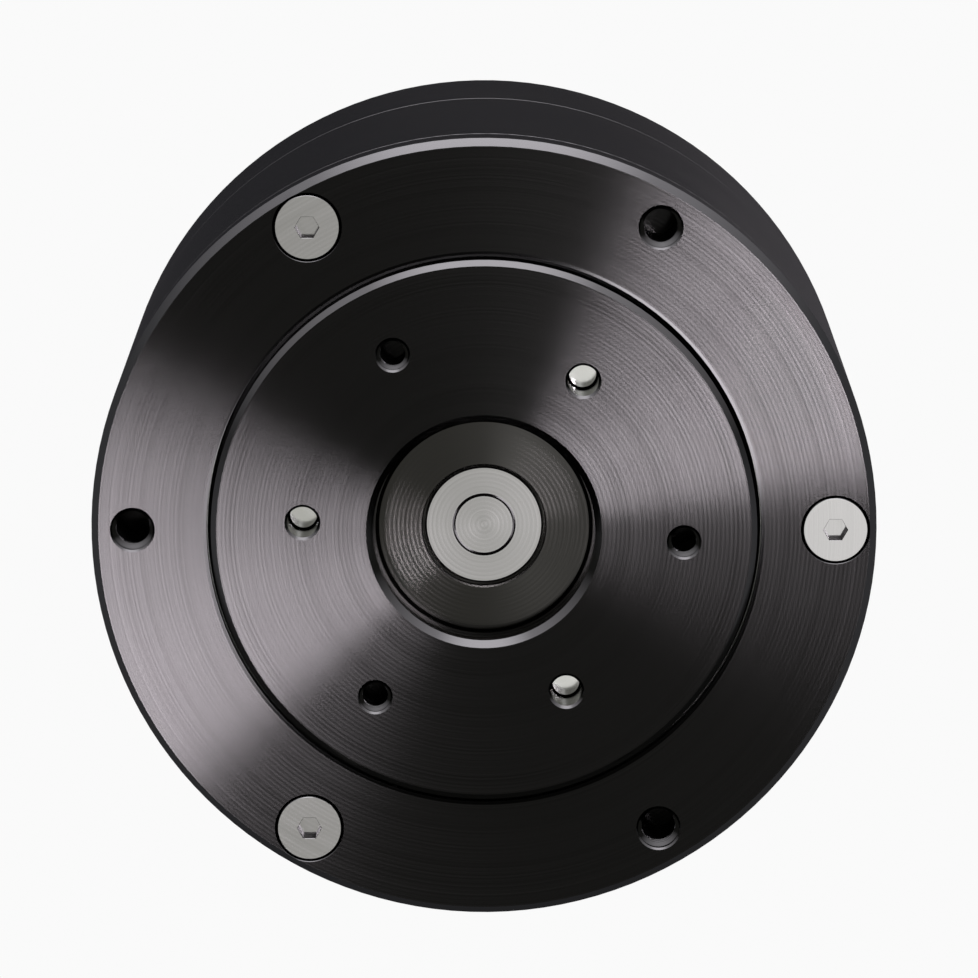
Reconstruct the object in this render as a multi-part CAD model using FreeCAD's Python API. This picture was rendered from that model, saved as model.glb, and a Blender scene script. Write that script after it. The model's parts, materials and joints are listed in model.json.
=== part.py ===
"""Robot joint actuator: a brushless motor, a planetary reducer and a controller in one round body.

Millimetres. +Z runs along the axis and out of the turning output face, and the origin is the
centre of the flat back, on which the part stands. Depths are measured back from the front face
of the fixed ring, and z_at(depth) turns a depth into a height.
"""
import FreeCAD, Part
import math
import os

Vector = FreeCAD.Vector
AXIS = Vector(0, 0, 1)

# Body: outside sizes seen on the object
HOUSING_WALL = 4.4
FRONT_RING_THICKNESS = 4.56
FRONT_EDGE_RADIAL = 0.7
FRONT_EDGE_AXIAL = 0.8
REAR_EDGE_CHAMFER = 0.6
JOINT_EDGE_CHAMFER = 0.12

# Front ring holes
MOUNT_EDGE = 4.0
MOUNT_HOLE_COUNT = 3
MOUNT_THREAD_RADIUS = 2.0
MOUNT_THREAD_MOUTH = 0.18
MOUNT_HOLE_FLOOR = 1.2
MOUNT_FIRST_ANGLE = 60.0
RING_SCREW_SHANK_RADIUS = 1.5
RING_SCREW_HEAD_RADIUS = 3.15
RING_SCREW_FLOOR = 1.6
RING_SCREW_KEY_WIDTH = 2.0
RING_SCREW_KEY_DEPTH = 1.5
RING_SCREW_FIRST_ANGLE = 0.0
COUNTERSINK_MARGIN = 0.225
KEY_WIDTH_SHARE = 1.3
KEY_DEPTH_SHARE = 1.0

# Turning flange
FLANGE_OVERHANG = 0.65
FLANGE_PROUD = 1.2
FLANGE_EDGE_CHAMFER = 0.54
FLANGE_GAP = 0.45
LIP_EDGE_CHAMFER = 0.15
OUTPUT_ANGLE = -3.0
OUTPUT_HOLE_COUNT = 3
OUTPUT_HOLE_OFFSET = 1.8
OUTPUT_THREAD_RADIUS = 1.5
OUTPUT_THREAD_MOUTH = 0.2
OUTPUT_THREAD_DEPTH = 7.5
JOURNAL_WALL = 1.65
PIN_RADIUS = 1.5
PIN_END_CHAMFER = 0.2
PIN_DEPTH = 3.7
PIN_HOLE_MOUTH = 0.25
CENTRE_BORE_RADIUS = 10.75
CENTRE_BORE_MOUTH_CHAMFER = 0.65

# Centre cap and centre shaft
CAP_LEDGE = 0.2
CAP_DEPTH = 2.5
CAP_THICKNESS = 2.0
CAP_EDGE_ROUND = 0.35
CAP_LEDGE_AHEAD = 0.2
CAP_HOLE_CHAMFER = 0.12
CENTRE_HEAD_RADIUS = 5.7
CENTRE_HEAD_GAP = 0.25
CENTRE_HEAD_DEPTH = 3.2
CENTRE_HEAD_THICKNESS = 3.0
CENTRE_HEAD_CHAMFER = 0.15
CENTRE_GROOVE_RADIUS = 2.92
CENTRE_GROOVE_WIDTH = 0.3
CENTRE_GROOVE_DEPTH = 0.18
CENTRE_SHANK_RADIUS = 3.0

# Output bearing, a thin-section ball bearing
BEARING_DEPTH = 2.0
BEARING_SECTION = 6.5
BEARING_WIDTH = 7.0
BEARING_BALL_RADIUS = 1.98
BEARING_BALL_COUNT = 20
SHIELD_THICKNESS = 0.5
CAGE_WIDTH_SHARE = 1.25
CAGE_WALL_SHARE = 0.22
RACE_SPACE_SHARE = 0.53
HOUSING_SHOULDER = 1.0
HOUSING_SHOULDER_HEIGHT = 1.4

# Planetary gears
GEAR_MODULE = 0.9
PRESSURE_ANGLE = 25.0
SUN_TEETH = 13
PLANET_TEETH = 26
PLANET_COUNT = 3
PLANET_FIRST_ANGLE = 60.0
FLANK_CLEARANCE = 0.05
ADDENDUM_FACTOR = 1.0
DEDENDUM_FACTOR = 1.25
RING_GEAR_WIDTH = 8.0
RING_GEAR_WALL = 2.625
PLANET_SIDE_CLEARANCE = 0.3
BUSH_WALL = 1.1
DOWEL_RADIUS = 1.0
DOWEL_LENGTH = 6.0
DOWEL_FIRST_ANGLE = 0.0

# Carrier
PILLAR_RADIUS = 4.0
CARRIER_PLATE_EDGE = 0.05
CARRIER_PLATE_THICKNESS = 2.6
CARRIER_PLATE_BORE_RADIUS = 8.0
CARRIER_SCREW_SHANK_RADIUS = 1.0
CARRIER_SCREW_HEAD_RADIUS = 1.9
CARRIER_SCREW_LENGTH = 7.6
CARRIER_GAP = 0.5
FLANGE_REAR_GAP = 0.2

# Gearbox cover
COVER_PLATE_THICKNESS = 1.0
COVER_STEP_GAP = 1.6
COVER_BORE_GAP = 0.9
COVER_SCREW_RADIUS = 0.8
COVER_SCREW_HEAD_RADIUS = 1.35
COVER_SCREW_HEAD_HEIGHT = 0.9
COVER_SCREW_LENGTH = 4.5
COVER_SCREW_COUNT = 6

# Motor
MOTOR_BORE_STEP = 0.6
SHAFT_RADIUS = 3.5
SHAFT_WALL = 1.4
SHAFT_BORE_GAP = 0.5
ROTOR_GAP = 0.7
ROTOR_DISC_THICKNESS = 2.0
ROTOR_BOSS_WALL = 1.1
ROTOR_WINDOW_COUNT = 6
ROTOR_WINDOW_RADIUS = 4.0
ROTOR_WINDOW_CIRCLE_RADIUS = 20.0
ROTOR_SIDE_GAP = 0.8
FLUX_RING_THICKNESS = 1.6
MAGNET_THICKNESS = 2.2
MAGNET_COUNT = 20
MAGNET_SPACE_ANGLE = 2.0
AIR_GAP = 0.6
SLOT_COUNT = 18
STATOR_YOKE_THICKNESS = 3.5
STATOR_TOOTH_WIDTH = 3.2
STATOR_SHOE_THICKNESS = 1.2
STATOR_SHOE_OPENING = 1.8
STATOR_STACK = 9.0
COIL_SPACE = 0.44
COIL_GAP = 0.1
WINDING_OVERHANG = 1.6
WINDING_FRONT_GAP = 0.7
WINDING_REAR_GAP = 1.3

# Rotor bearings in the hub
HUB_RADIUS = 16.0
HUB_SHOULDER_HEIGHT = 1.6
HUB_INNER_WALL = 2.2
HUB_OUTER_WALL = 2.0
SMALL_BEARING_SECTION = 3.5
SMALL_BEARING_WIDTH = 3.5
SMALL_BALL_RADIUS = 1.0
SMALL_BALL_COUNT = 8
HUB_BORE_STEP = 1.1

# Rear housing, controller and back cover
BULKHEAD_THICKNESS = 2.5
PARTING_AHEAD = 2.2
REAR_WALL = 6.6
BOARD_GAP = 0.4
BOARD_THICKNESS = 1.4
BOARD_TO_COVER = 3.8
BACK_COVER_THICKNESS = 2.0
BACK_COVER_LEDGE = 1.3
BACK_COVER_GAP = 0.1
STANDOFF_RADIUS = 2.2
STANDOFF_INSET = 6.4
STANDOFF_ANGLE = 90.0
STANDOFF_SPREAD = 110.0
BOARD_SCREW_RADIUS = 1.0
BOARD_SCREW_HEAD_RADIUS = 1.9
BOARD_SCREW_HEAD_HEIGHT = 1.3
BOARD_SCREW_LENGTH = 4.4
COVER_BOSS_COUNT = 3
COVER_BOSS_RADIUS = 2.3
COVER_BOSS_INSET = 1.4
COVER_BOSS_FIRST_ANGLE = 60.0
BACK_SCREW_RADIUS = 1.0
BACK_SCREW_HEAD_RADIUS = 1.85
BACK_SCREW_LENGTH = 6.0
LONG_SCREW_COUNT = 6
LONG_SCREW_EDGE = 2.7
LONG_SCREW_GRIP = 7.6
LONG_SCREW_FIRST_ANGLE = 30.0
LEAD_RADIUS = 0.55
LEAD_HOLE_RADIUS = 1.2
MAGNET_RING_WALL = 2.5
MAGNET_RING_LENGTH = 2.0
SHAFT_REAR_LENGTH = 1.5
OUTPUT_MAGNET_RADIUS = 3.0
OUTPUT_MAGNET_LENGTH = 1.3
OUTPUT_MAGNET_GAP = 0.3
SENSOR_THICKNESS = 0.8
SENSOR_GAP = 0.6
SENSOR_SIDE = 3.0
RING_SENSOR_X = 6.5
TRANSISTOR_COUNT = 6
TRANSISTOR_LENGTH = 6.0
TRANSISTOR_WIDTH = 5.0
TRANSISTOR_HEIGHT = 1.0
TRANSISTOR_SPACING = 6.0
TRANSISTOR_ROW_Y = 12.0
CAPACITOR_WIDTH = 7.0
CAPACITOR_LENGTH = 4.2
CAPACITOR_HEIGHT = 2.8
CAPACITOR_SPACING = 9.0
CAPACITOR_ROW_OFFSET = 10.0
CONTROL_CHIP_SIDE = 7.0
CONTROL_CHIP_HEIGHT = 0.9
CONTROL_CHIP_Y = 4.0

# Connectors in the back
CONNECTOR_ROW_INSET = 13.0
CONNECTOR_SPACING = 14.5
CONNECTOR_RECESS = 0.4
CONNECTOR_WALL = 0.8
CONNECTOR_WINDOW_GAP = 0.3
CONNECTOR_FLOOR = 1.2
POWER_SOCKET_WIDTH = 12.0
POWER_SOCKET_HEIGHT = 6.0
POWER_PIN_RADIUS = 1.0
POWER_PIN_SPACING = 5.0
SIGNAL_SOCKET_WIDTH = 9.0
SIGNAL_SOCKET_HEIGHT = 4.6
SIGNAL_PIN_COUNT = 4
SIGNAL_PIN_WIDTH = 0.5
SIGNAL_PIN_SPACING = 1.5
PIN_TIP_RECESS = 1.0

# Fits
SEAT_GAP = 0.02
RUNNING_GAP = 0.04
SCREW_HOLE_GAP = 0.1

# Derived sizes, from the gears outwards
PITCH_SUN = GEAR_MODULE * SUN_TEETH / 2
PITCH_PLANET = GEAR_MODULE * PLANET_TEETH / 2
RING_TEETH = SUN_TEETH + 2 * PLANET_TEETH
PITCH_RING = GEAR_MODULE * RING_TEETH / 2
RING_ROOT_RADIUS = PITCH_RING + DEDENDUM_FACTOR * GEAR_MODULE
RING_GEAR_OUTER_RADIUS = RING_ROOT_RADIUS + RING_GEAR_WALL
PLANET_CIRCLE_RADIUS = PITCH_SUN + PITCH_PLANET
BUSH_OUTER_RADIUS = PIN_RADIUS + BUSH_WALL
OUTPUT_HOLE_CIRCLE_RADIUS = PLANET_CIRCLE_RADIUS + OUTPUT_HOLE_OFFSET
BEARING_BORE_RADIUS = OUTPUT_HOLE_CIRCLE_RADIUS + OUTPUT_THREAD_RADIUS + JOURNAL_WALL
BEARING_OUTER_RADIUS = BEARING_BORE_RADIUS + BEARING_SECTION
BALL_CIRCLE_RADIUS = (BEARING_BORE_RADIUS + BEARING_OUTER_RADIUS) / 2
FLANGE_RADIUS = BALL_CIRCLE_RADIUS + FLANGE_OVERHANG
RING_BORE_RADIUS = FLANGE_RADIUS + FLANGE_GAP
HOUSING_SHOULDER_BORE_RADIUS = BEARING_OUTER_RADIUS - HOUSING_SHOULDER_HEIGHT
CARRIER_PLATE_RADIUS = OUTPUT_HOLE_CIRCLE_RADIUS + PILLAR_RADIUS + CARRIER_PLATE_EDGE
COVER_STEP_RADIUS = CARRIER_PLATE_RADIUS + COVER_STEP_GAP
COVER_BORE_RADIUS = SHAFT_RADIUS + COVER_BORE_GAP
COVER_SCREW_CIRCLE_RADIUS = (RING_ROOT_RADIUS + RING_GEAR_OUTER_RADIUS) / 2
MOTOR_BORE_RADIUS = RING_GEAR_OUTER_RADIUS + MOTOR_BORE_STEP
BODY_RADIUS = MOTOR_BORE_RADIUS + HOUSING_WALL
MOUNT_CIRCLE_RADIUS = BODY_RADIUS - MOUNT_EDGE
LONG_SCREW_CIRCLE_RADIUS = BODY_RADIUS - LONG_SCREW_EDGE
CAP_SEAT_RADIUS = CENTRE_BORE_RADIUS - CAP_LEDGE
CAP_RADIUS = CAP_SEAT_RADIUS - SEAT_GAP
CAP_HOLE_RADIUS = CENTRE_HEAD_RADIUS + CENTRE_HEAD_GAP
SHAFT_BORE_RADIUS = SHAFT_RADIUS - SHAFT_WALL
CENTRE_ROD_RADIUS = SHAFT_BORE_RADIUS - SHAFT_BORE_GAP
SMALL_BEARING_OUTER_RADIUS = SHAFT_RADIUS + SMALL_BEARING_SECTION
SMALL_BALL_CIRCLE_RADIUS = (SHAFT_RADIUS + SMALL_BEARING_OUTER_RADIUS) / 2
FLUX_RING_OUTER_RADIUS = MOTOR_BORE_RADIUS - ROTOR_SIDE_GAP
FLUX_RING_INNER_RADIUS = FLUX_RING_OUTER_RADIUS - FLUX_RING_THICKNESS
MAGNET_INNER_RADIUS = FLUX_RING_INNER_RADIUS - MAGNET_THICKNESS
MAGNET_RING_RADIUS = SHAFT_RADIUS + MAGNET_RING_WALL
STATOR_RADIUS = MAGNET_INNER_RADIUS - AIR_GAP
STATOR_YOKE_RADIUS = HUB_RADIUS + STATOR_YOKE_THICKNESS
HALF_SLOT_SPACE = STATOR_YOKE_RADIUS * math.tan(math.pi / SLOT_COUNT)
COIL_HALF_WIDTH = HALF_SLOT_SPACE - COIL_SPACE
WINDING_THICKNESS = COIL_HALF_WIDTH - STATOR_TOOTH_WIDTH / 2
COIL_INNER = STATOR_YOKE_RADIUS + COIL_GAP
COIL_OUTER = math.sqrt((STATOR_RADIUS - STATOR_SHOE_THICKNESS) ** 2 - COIL_HALF_WIDTH ** 2) - COIL_GAP
LEAD_CIRCLE_RADIUS = (COIL_INNER + COIL_OUTER) / 2
CONTROLLER_BORE_RADIUS = BODY_RADIUS - REAR_WALL
BOARD_RADIUS = CONTROLLER_BORE_RADIUS - BOARD_GAP
BACK_COVER_RADIUS = CONTROLLER_BORE_RADIUS + BACK_COVER_LEDGE
COVER_BOSS_CIRCLE_RADIUS = CONTROLLER_BORE_RADIUS - COVER_BOSS_INSET
STANDOFF_CIRCLE_RADIUS = CONTROLLER_BORE_RADIUS - STANDOFF_INSET
CONNECTOR_ROW_Y = CONNECTOR_ROW_INSET - BOARD_RADIUS
CAPACITOR_ROW_Y = CONNECTOR_ROW_Y + CAPACITOR_ROW_OFFSET

# Depths behind the front face
BEARING_REAR_DEPTH = BEARING_DEPTH + BEARING_WIDTH
GEAR_FRONT_DEPTH = BEARING_REAR_DEPTH + HOUSING_SHOULDER
GEAR_REAR_DEPTH = GEAR_FRONT_DEPTH + RING_GEAR_WIDTH
MOUNT_THREAD_DEPTH = GEAR_FRONT_DEPTH - MOUNT_HOLE_FLOOR
RING_SCREW_LENGTH = GEAR_FRONT_DEPTH - RING_SCREW_FLOOR
FLANGE_REAR_DEPTH = GEAR_FRONT_DEPTH - FLANGE_REAR_GAP
CARRIER_REAR_DEPTH = GEAR_REAR_DEPTH + CARRIER_PLATE_THICKNESS
CARRIER_FLOOR_DEPTH = CARRIER_REAR_DEPTH + CARRIER_GAP
ROTOR_FRONT_DEPTH = CARRIER_FLOOR_DEPTH + COVER_PLATE_THICKNESS + ROTOR_GAP
ROTOR_REAR_DEPTH = ROTOR_FRONT_DEPTH + ROTOR_DISC_THICKNESS
WINDING_FRONT_DEPTH = ROTOR_REAR_DEPTH + WINDING_FRONT_GAP
STATOR_FRONT_DEPTH = WINDING_FRONT_DEPTH + WINDING_OVERHANG
STATOR_REAR_DEPTH = STATOR_FRONT_DEPTH + STATOR_STACK
WINDING_REAR_DEPTH = STATOR_REAR_DEPTH + WINDING_OVERHANG
BULKHEAD_FRONT_DEPTH = WINDING_REAR_DEPTH + WINDING_REAR_GAP
BULKHEAD_REAR_DEPTH = BULKHEAD_FRONT_DEPTH + BULKHEAD_THICKNESS
PARTING_DEPTH = BULKHEAD_FRONT_DEPTH - PARTING_AHEAD
SHAFT_REAR_DEPTH = BULKHEAD_REAR_DEPTH + SHAFT_REAR_LENGTH
MAGNET_RING_REAR_DEPTH = SHAFT_REAR_DEPTH + MAGNET_RING_LENGTH
OUTPUT_MAGNET_DEPTH = MAGNET_RING_REAR_DEPTH + OUTPUT_MAGNET_GAP
OUTPUT_MAGNET_REAR_DEPTH = OUTPUT_MAGNET_DEPTH + OUTPUT_MAGNET_LENGTH
BOARD_FRONT_DEPTH = OUTPUT_MAGNET_REAR_DEPTH + SENSOR_GAP + SENSOR_THICKNESS
BOARD_REAR_DEPTH = BOARD_FRONT_DEPTH + BOARD_THICKNESS
COVER_FRONT_DEPTH = BOARD_REAR_DEPTH + BOARD_TO_COVER
BODY_LENGTH = COVER_FRONT_DEPTH + BACK_COVER_THICKNESS
LONG_SCREW_LENGTH = BODY_LENGTH - PARTING_DEPTH + LONG_SCREW_GRIP
HUB_FRONT_DEPTH = WINDING_FRONT_DEPTH + WINDING_OVERHANG / 2
SMALL_REAR_BEARING_DEPTH = BULKHEAD_REAR_DEPTH - SMALL_BEARING_WIDTH
CAP_REAR_DEPTH = CAP_DEPTH + CAP_THICKNESS
CENTRE_HEAD_REAR_DEPTH = CENTRE_HEAD_DEPTH + CENTRE_HEAD_THICKNESS
SUN_FRONT_DEPTH = GEAR_FRONT_DEPTH + PLANET_SIDE_CLEARANCE
SUN_REAR_DEPTH = GEAR_REAR_DEPTH - PLANET_SIDE_CLEARANCE


def z_at(depth):
    return BODY_LENGTH - depth


def polar(radius, angle, z=0.0):
    turn = math.radians(angle)
    return Vector(radius * math.cos(turn), radius * math.sin(turn), z)


def spaced(first, count):
    return [first + 360.0 * i / count for i in range(count)]


def cylinder(radius, front, rear, centre=(0.0, 0.0)):
    """A round bar along Z between two depths."""
    base = Vector(centre[0], centre[1], z_at(rear))
    return Part.makeCylinder(radius, rear - front, base, AXIS)


def cone(front_radius, rear_radius, front, rear, centre=(0.0, 0.0)):
    base = Vector(centre[0], centre[1], z_at(rear))
    return Part.makeCone(rear_radius, front_radius, rear - front, base, AXIS)


def turned(outline):
    """A solid of revolution from (radius, depth) points."""
    points = [Vector(r, 0, z_at(depth)) for r, depth in outline]
    face = Part.Face(Part.makePolygon(points + points[:1]))
    return face.revolve(Vector(0, 0, 0), AXIS, 360)


def at(angle, radius):
    spot = polar(radius, angle)
    return (spot.x, spot.y)


def group(solids):
    return Part.makeCompound(solids)


def flat_head_screw(shank, head, length, front, centre, key_width, key_depth):
    """A countersunk screw with a hexagon socket, its head level with the depth front."""
    head_depth = head - shank
    body = cone(head, shank, front, front + head_depth, centre)
    body = body.fuse(cylinder(shank, front + head_depth, front + length, centre)).removeSplitter()
    return body.cut(hexagon(key_width, front, front + key_depth, centre))


def flat_head_seat(shank, head, front, rear, centre):
    """The countersunk through hole that such a screw sits in."""
    wide = head + COUNTERSINK_MARGIN
    narrow = shank + SCREW_HOLE_GAP
    sink = cone(wide, narrow, front, front + wide - narrow, centre)
    return sink.fuse(cylinder(narrow, front, rear, centre))


def hexagon(width, front, rear, centre):
    """A hexagonal bar with corners at left and right."""
    corner = width / math.sqrt(3)
    x, y = centre
    points = [polar(corner, a) + Vector(x, y, z_at(rear)) for a in spaced(0.0, 6)]
    return Part.Face(Part.makePolygon(points + points[:1])).extrude(AXIS * (rear - front))


def rear_flat_head_screw(shank, head, length, rear, centre):
    """A countersunk screw whose head is level with the depth rear and faces backwards."""
    key_width = shank * KEY_WIDTH_SHARE
    key_depth = shank * KEY_DEPTH_SHARE
    head_depth = head - shank
    body = cone(shank, head, rear - head_depth, rear, centre)
    body = body.fuse(cylinder(shank, rear - length, rear - head_depth, centre)).removeSplitter()
    return body.cut(hexagon(key_width, rear - key_depth, rear, centre))


def rear_flat_head_seat(shank, head, front, rear, centre):
    wide = head + SCREW_HOLE_GAP
    narrow = shank + SCREW_HOLE_GAP
    sink = cone(narrow, wide, rear - wide + narrow, rear, centre)
    return sink.fuse(cylinder(narrow, front, rear, centre))


def thread_seat(shank, front, rear, centre):
    """The part of a tapped hole that a screw fills."""
    return cylinder(shank + SEAT_GAP, front, rear, centre)


def involute(angle):
    return math.tan(angle) - angle


def flank_angle(pitch_radius, teeth, radius, inside):
    """Half the angle that a tooth spans at a radius, in radians."""
    base_radius = pitch_radius * math.cos(math.radians(PRESSURE_ANGLE))
    at_pitch = math.pi / (2 * teeth) - FLANK_CLEARANCE / pitch_radius
    here = involute(math.acos(min(1.0, base_radius / max(radius, base_radius))))
    change = involute(math.radians(PRESSURE_ANGLE)) - here
    return at_pitch + (-change if inside else change)


def flank(pitch_radius, teeth, low, high, inside):
    """One involute flank as (radius, angle) pairs from the low radius to the high one."""
    steps = 4
    radii = [low + (high - low) * i / steps for i in range(steps + 1)]
    return [(r, flank_angle(pitch_radius, teeth, r, inside)) for r in radii]


def gear_outline(teeth, start, inside=False):
    """The closed toothed outline, with a tooth centred on the angle start."""
    pitch_radius = GEAR_MODULE * teeth / 2
    addendum = ADDENDUM_FACTOR * GEAR_MODULE
    dedendum = DEDENDUM_FACTOR * GEAR_MODULE
    base_radius = pitch_radius * math.cos(math.radians(PRESSURE_ANGLE))
    tip = pitch_radius - addendum if inside else pitch_radius + addendum
    root = pitch_radius + dedendum if inside else pitch_radius - dedendum
    low = tip if inside else max(root, base_radius)
    high = root if inside else tip
    side = flank(pitch_radius, teeth, low, high, inside)
    if inside:
        side.reverse()
    edges = []
    pitch = 2 * math.pi / teeth
    for i in range(teeth):
        middle = math.radians(start) + i * pitch
        edges += tooth_edges(side, root, tip, middle, pitch)
    return Part.Wire(edges)


def tooth_edges(side, root, tip, middle, pitch):
    """The edges of one tooth: up one flank, over the tip, down the other and along the root."""

    def spot(radius, angle):
        return Vector(radius * math.cos(angle), radius * math.sin(angle), 0)

    def curve(pairs, sign):
        line = Part.BSplineCurve()
        line.interpolate([spot(r, middle + sign * a) for r, a in pairs])
        return line.toShape()

    half_root = side[0][1]
    half_tip = side[-1][1]
    edges = [curve(side, -1)]
    tip_arc = [spot(tip, middle - half_tip), spot(tip, middle), spot(tip, middle + half_tip)]
    edges.append(Part.Arc(*tip_arc).toShape())
    edges.append(curve(side[::-1], 1))
    if abs(side[0][0] - root) > 1e-6:
        edges.insert(0, Part.makeLine(spot(root, middle - half_root), spot(side[0][0], middle - half_root)))
        edges.append(Part.makeLine(spot(side[0][0], middle + half_root), spot(root, middle + half_root)))
    next_root = middle + pitch - half_root
    root_middle = middle + pitch / 2
    root_arc = [spot(root, middle + half_root), spot(root, root_middle), spot(root, next_root)]
    edges.append(Part.Arc(*root_arc).toShape())
    return edges


def toothed_bar(teeth, start, front, rear, inside=False):
    outline = Part.Face(gear_outline(teeth, start, inside))
    bar = outline.extrude(AXIS * (rear - front))
    bar.translate(AXIS * z_at(rear))
    return bar


def planet_angles():
    return spaced(PLANET_FIRST_ANGLE + OUTPUT_ANGLE, PLANET_COUNT)


def pillar_angles():
    return spaced(OUTPUT_ANGLE, OUTPUT_HOLE_COUNT)


def ring_screw_angles():
    return spaced(RING_SCREW_FIRST_ANGLE, MOUNT_HOLE_COUNT)


def mount_angles():
    return spaced(MOUNT_FIRST_ANGLE, MOUNT_HOLE_COUNT)


def mouthed_hole(radius, mouth, front, rear, centre):
    """A round hole with a chamfered mouth. An open tapped hole has its thread's outside size."""
    bore = cylinder(radius, front, rear, centre)
    return bore.fuse(cone(radius + mouth, radius, front, front + mouth, centre))


def front_ring():
    edge = JOINT_EDGE_CHAMFER
    ring = turned([
        (RING_BORE_RADIUS + LIP_EDGE_CHAMFER, 0),
        (BODY_RADIUS - FRONT_EDGE_RADIAL, 0),
        (BODY_RADIUS, FRONT_EDGE_AXIAL),
        (BODY_RADIUS, FRONT_RING_THICKNESS - edge),
        (BODY_RADIUS - edge, FRONT_RING_THICKNESS),
        (BEARING_OUTER_RADIUS + SEAT_GAP, FRONT_RING_THICKNESS),
        (BEARING_OUTER_RADIUS + SEAT_GAP, BEARING_DEPTH),
        (RING_BORE_RADIUS, BEARING_DEPTH),
        (RING_BORE_RADIUS, LIP_EDGE_CHAMFER),
    ])
    for angle in ring_screw_angles():
        spot = at(angle, MOUNT_CIRCLE_RADIUS)
        ring = ring.cut(flat_head_seat(
            RING_SCREW_SHANK_RADIUS, RING_SCREW_HEAD_RADIUS, 0, FRONT_RING_THICKNESS, spot))
    return ring.cut(mount_hole_tools())


def mount_hole_tools():
    """The tapped mounting holes, which run through the ring into the housing."""
    return group([
        mouthed_hole(MOUNT_THREAD_RADIUS, MOUNT_THREAD_MOUTH, 0, MOUNT_THREAD_DEPTH,
                    at(angle, MOUNT_CIRCLE_RADIUS))
        for angle in mount_angles()
    ])


def front_ring_screws():
    return group([
        flat_head_screw(
            RING_SCREW_SHANK_RADIUS, RING_SCREW_HEAD_RADIUS, RING_SCREW_LENGTH, 0,
            at(angle, MOUNT_CIRCLE_RADIUS), RING_SCREW_KEY_WIDTH, RING_SCREW_KEY_DEPTH)
        for angle in ring_screw_angles()
    ])


def long_screw_hole(angle):
    tip = PARTING_DEPTH - LONG_SCREW_GRIP - SEAT_GAP
    return thread_seat(BACK_SCREW_RADIUS, tip, PARTING_DEPTH, at(angle, LONG_SCREW_CIRCLE_RADIUS))


def dowel_angles():
    return spaced(DOWEL_FIRST_ANGLE, PLANET_COUNT)


def gear_housing():
    edge = JOINT_EDGE_CHAMFER
    shell = turned([
        (BEARING_OUTER_RADIUS + SEAT_GAP, FRONT_RING_THICKNESS),
        (BODY_RADIUS - edge, FRONT_RING_THICKNESS),
        (BODY_RADIUS, FRONT_RING_THICKNESS + edge),
        (BODY_RADIUS, PARTING_DEPTH - edge),
        (BODY_RADIUS - edge, PARTING_DEPTH),
        (MOTOR_BORE_RADIUS, PARTING_DEPTH),
        (MOTOR_BORE_RADIUS, GEAR_REAR_DEPTH),
        (RING_GEAR_OUTER_RADIUS + SEAT_GAP, GEAR_REAR_DEPTH),
        (RING_GEAR_OUTER_RADIUS + SEAT_GAP, GEAR_FRONT_DEPTH),
        (HOUSING_SHOULDER_BORE_RADIUS, GEAR_FRONT_DEPTH),
        (HOUSING_SHOULDER_BORE_RADIUS, BEARING_REAR_DEPTH),
        (BEARING_OUTER_RADIUS + SEAT_GAP, BEARING_REAR_DEPTH),
    ])
    tools = [
        thread_seat(RING_SCREW_SHANK_RADIUS, FRONT_RING_THICKNESS, RING_SCREW_LENGTH + SEAT_GAP,
                    at(angle, MOUNT_CIRCLE_RADIUS))
        for angle in ring_screw_angles()
    ]
    tools += [long_screw_hole(angle) for angle in spaced(LONG_SCREW_FIRST_ANGLE, LONG_SCREW_COUNT)]
    tools += dowels(SEAT_GAP)
    return shell.cut(group(tools)).cut(mount_hole_tools())


def dowels(gap=0.0):
    """Pins that lie half in the housing and half in the ring gear and stop it turning."""
    return [
        cylinder(DOWEL_RADIUS + gap, GEAR_FRONT_DEPTH - gap, GEAR_FRONT_DEPTH + DOWEL_LENGTH + gap,
                 at(angle, RING_GEAR_OUTER_RADIUS))
        for angle in dowel_angles()
    ]


def ring_gear():
    blank = cylinder(RING_GEAR_OUTER_RADIUS, GEAR_FRONT_DEPTH, GEAR_REAR_DEPTH)
    teeth = toothed_bar(RING_TEETH, planet_angles()[0], GEAR_FRONT_DEPTH, GEAR_REAR_DEPTH, inside=True)
    gear = blank.cut(teeth)
    holes = [
        thread_seat(COVER_SCREW_RADIUS, GEAR_REAR_DEPTH - COVER_SCREW_LENGTH, GEAR_REAR_DEPTH,
                    at(angle, COVER_SCREW_CIRCLE_RADIUS))
        for angle in cover_screw_angles()
    ]
    return gear.cut(group(holes + dowels(SEAT_GAP)))


def cover_screw_angles():
    half_step = 180.0 / COVER_SCREW_COUNT
    return spaced(DOWEL_FIRST_ANGLE + half_step, COVER_SCREW_COUNT)


def gearbox_cover():
    """A pressed dish that holds the ring gear in and keeps grease away from the motor."""
    seat = GEAR_REAR_DEPTH
    sheet = COVER_PLATE_THICKNESS
    floor = CARRIER_FLOOR_DEPTH
    rim = MOTOR_BORE_RADIUS - SCREW_HOLE_GAP
    dish = turned([
        (COVER_STEP_RADIUS, seat),
        (rim, seat),
        (rim, seat + sheet),
        (COVER_STEP_RADIUS + sheet, seat + sheet),
        (COVER_STEP_RADIUS + sheet, floor + sheet),
        (COVER_BORE_RADIUS, floor + sheet),
        (COVER_BORE_RADIUS, floor),
        (COVER_STEP_RADIUS, floor),
    ])
    holes = [
        cylinder(COVER_SCREW_RADIUS + SCREW_HOLE_GAP, seat, seat + sheet, at(a, COVER_SCREW_CIRCLE_RADIUS))
        for a in cover_screw_angles()
    ]
    return dish.cut(group(holes))


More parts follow.
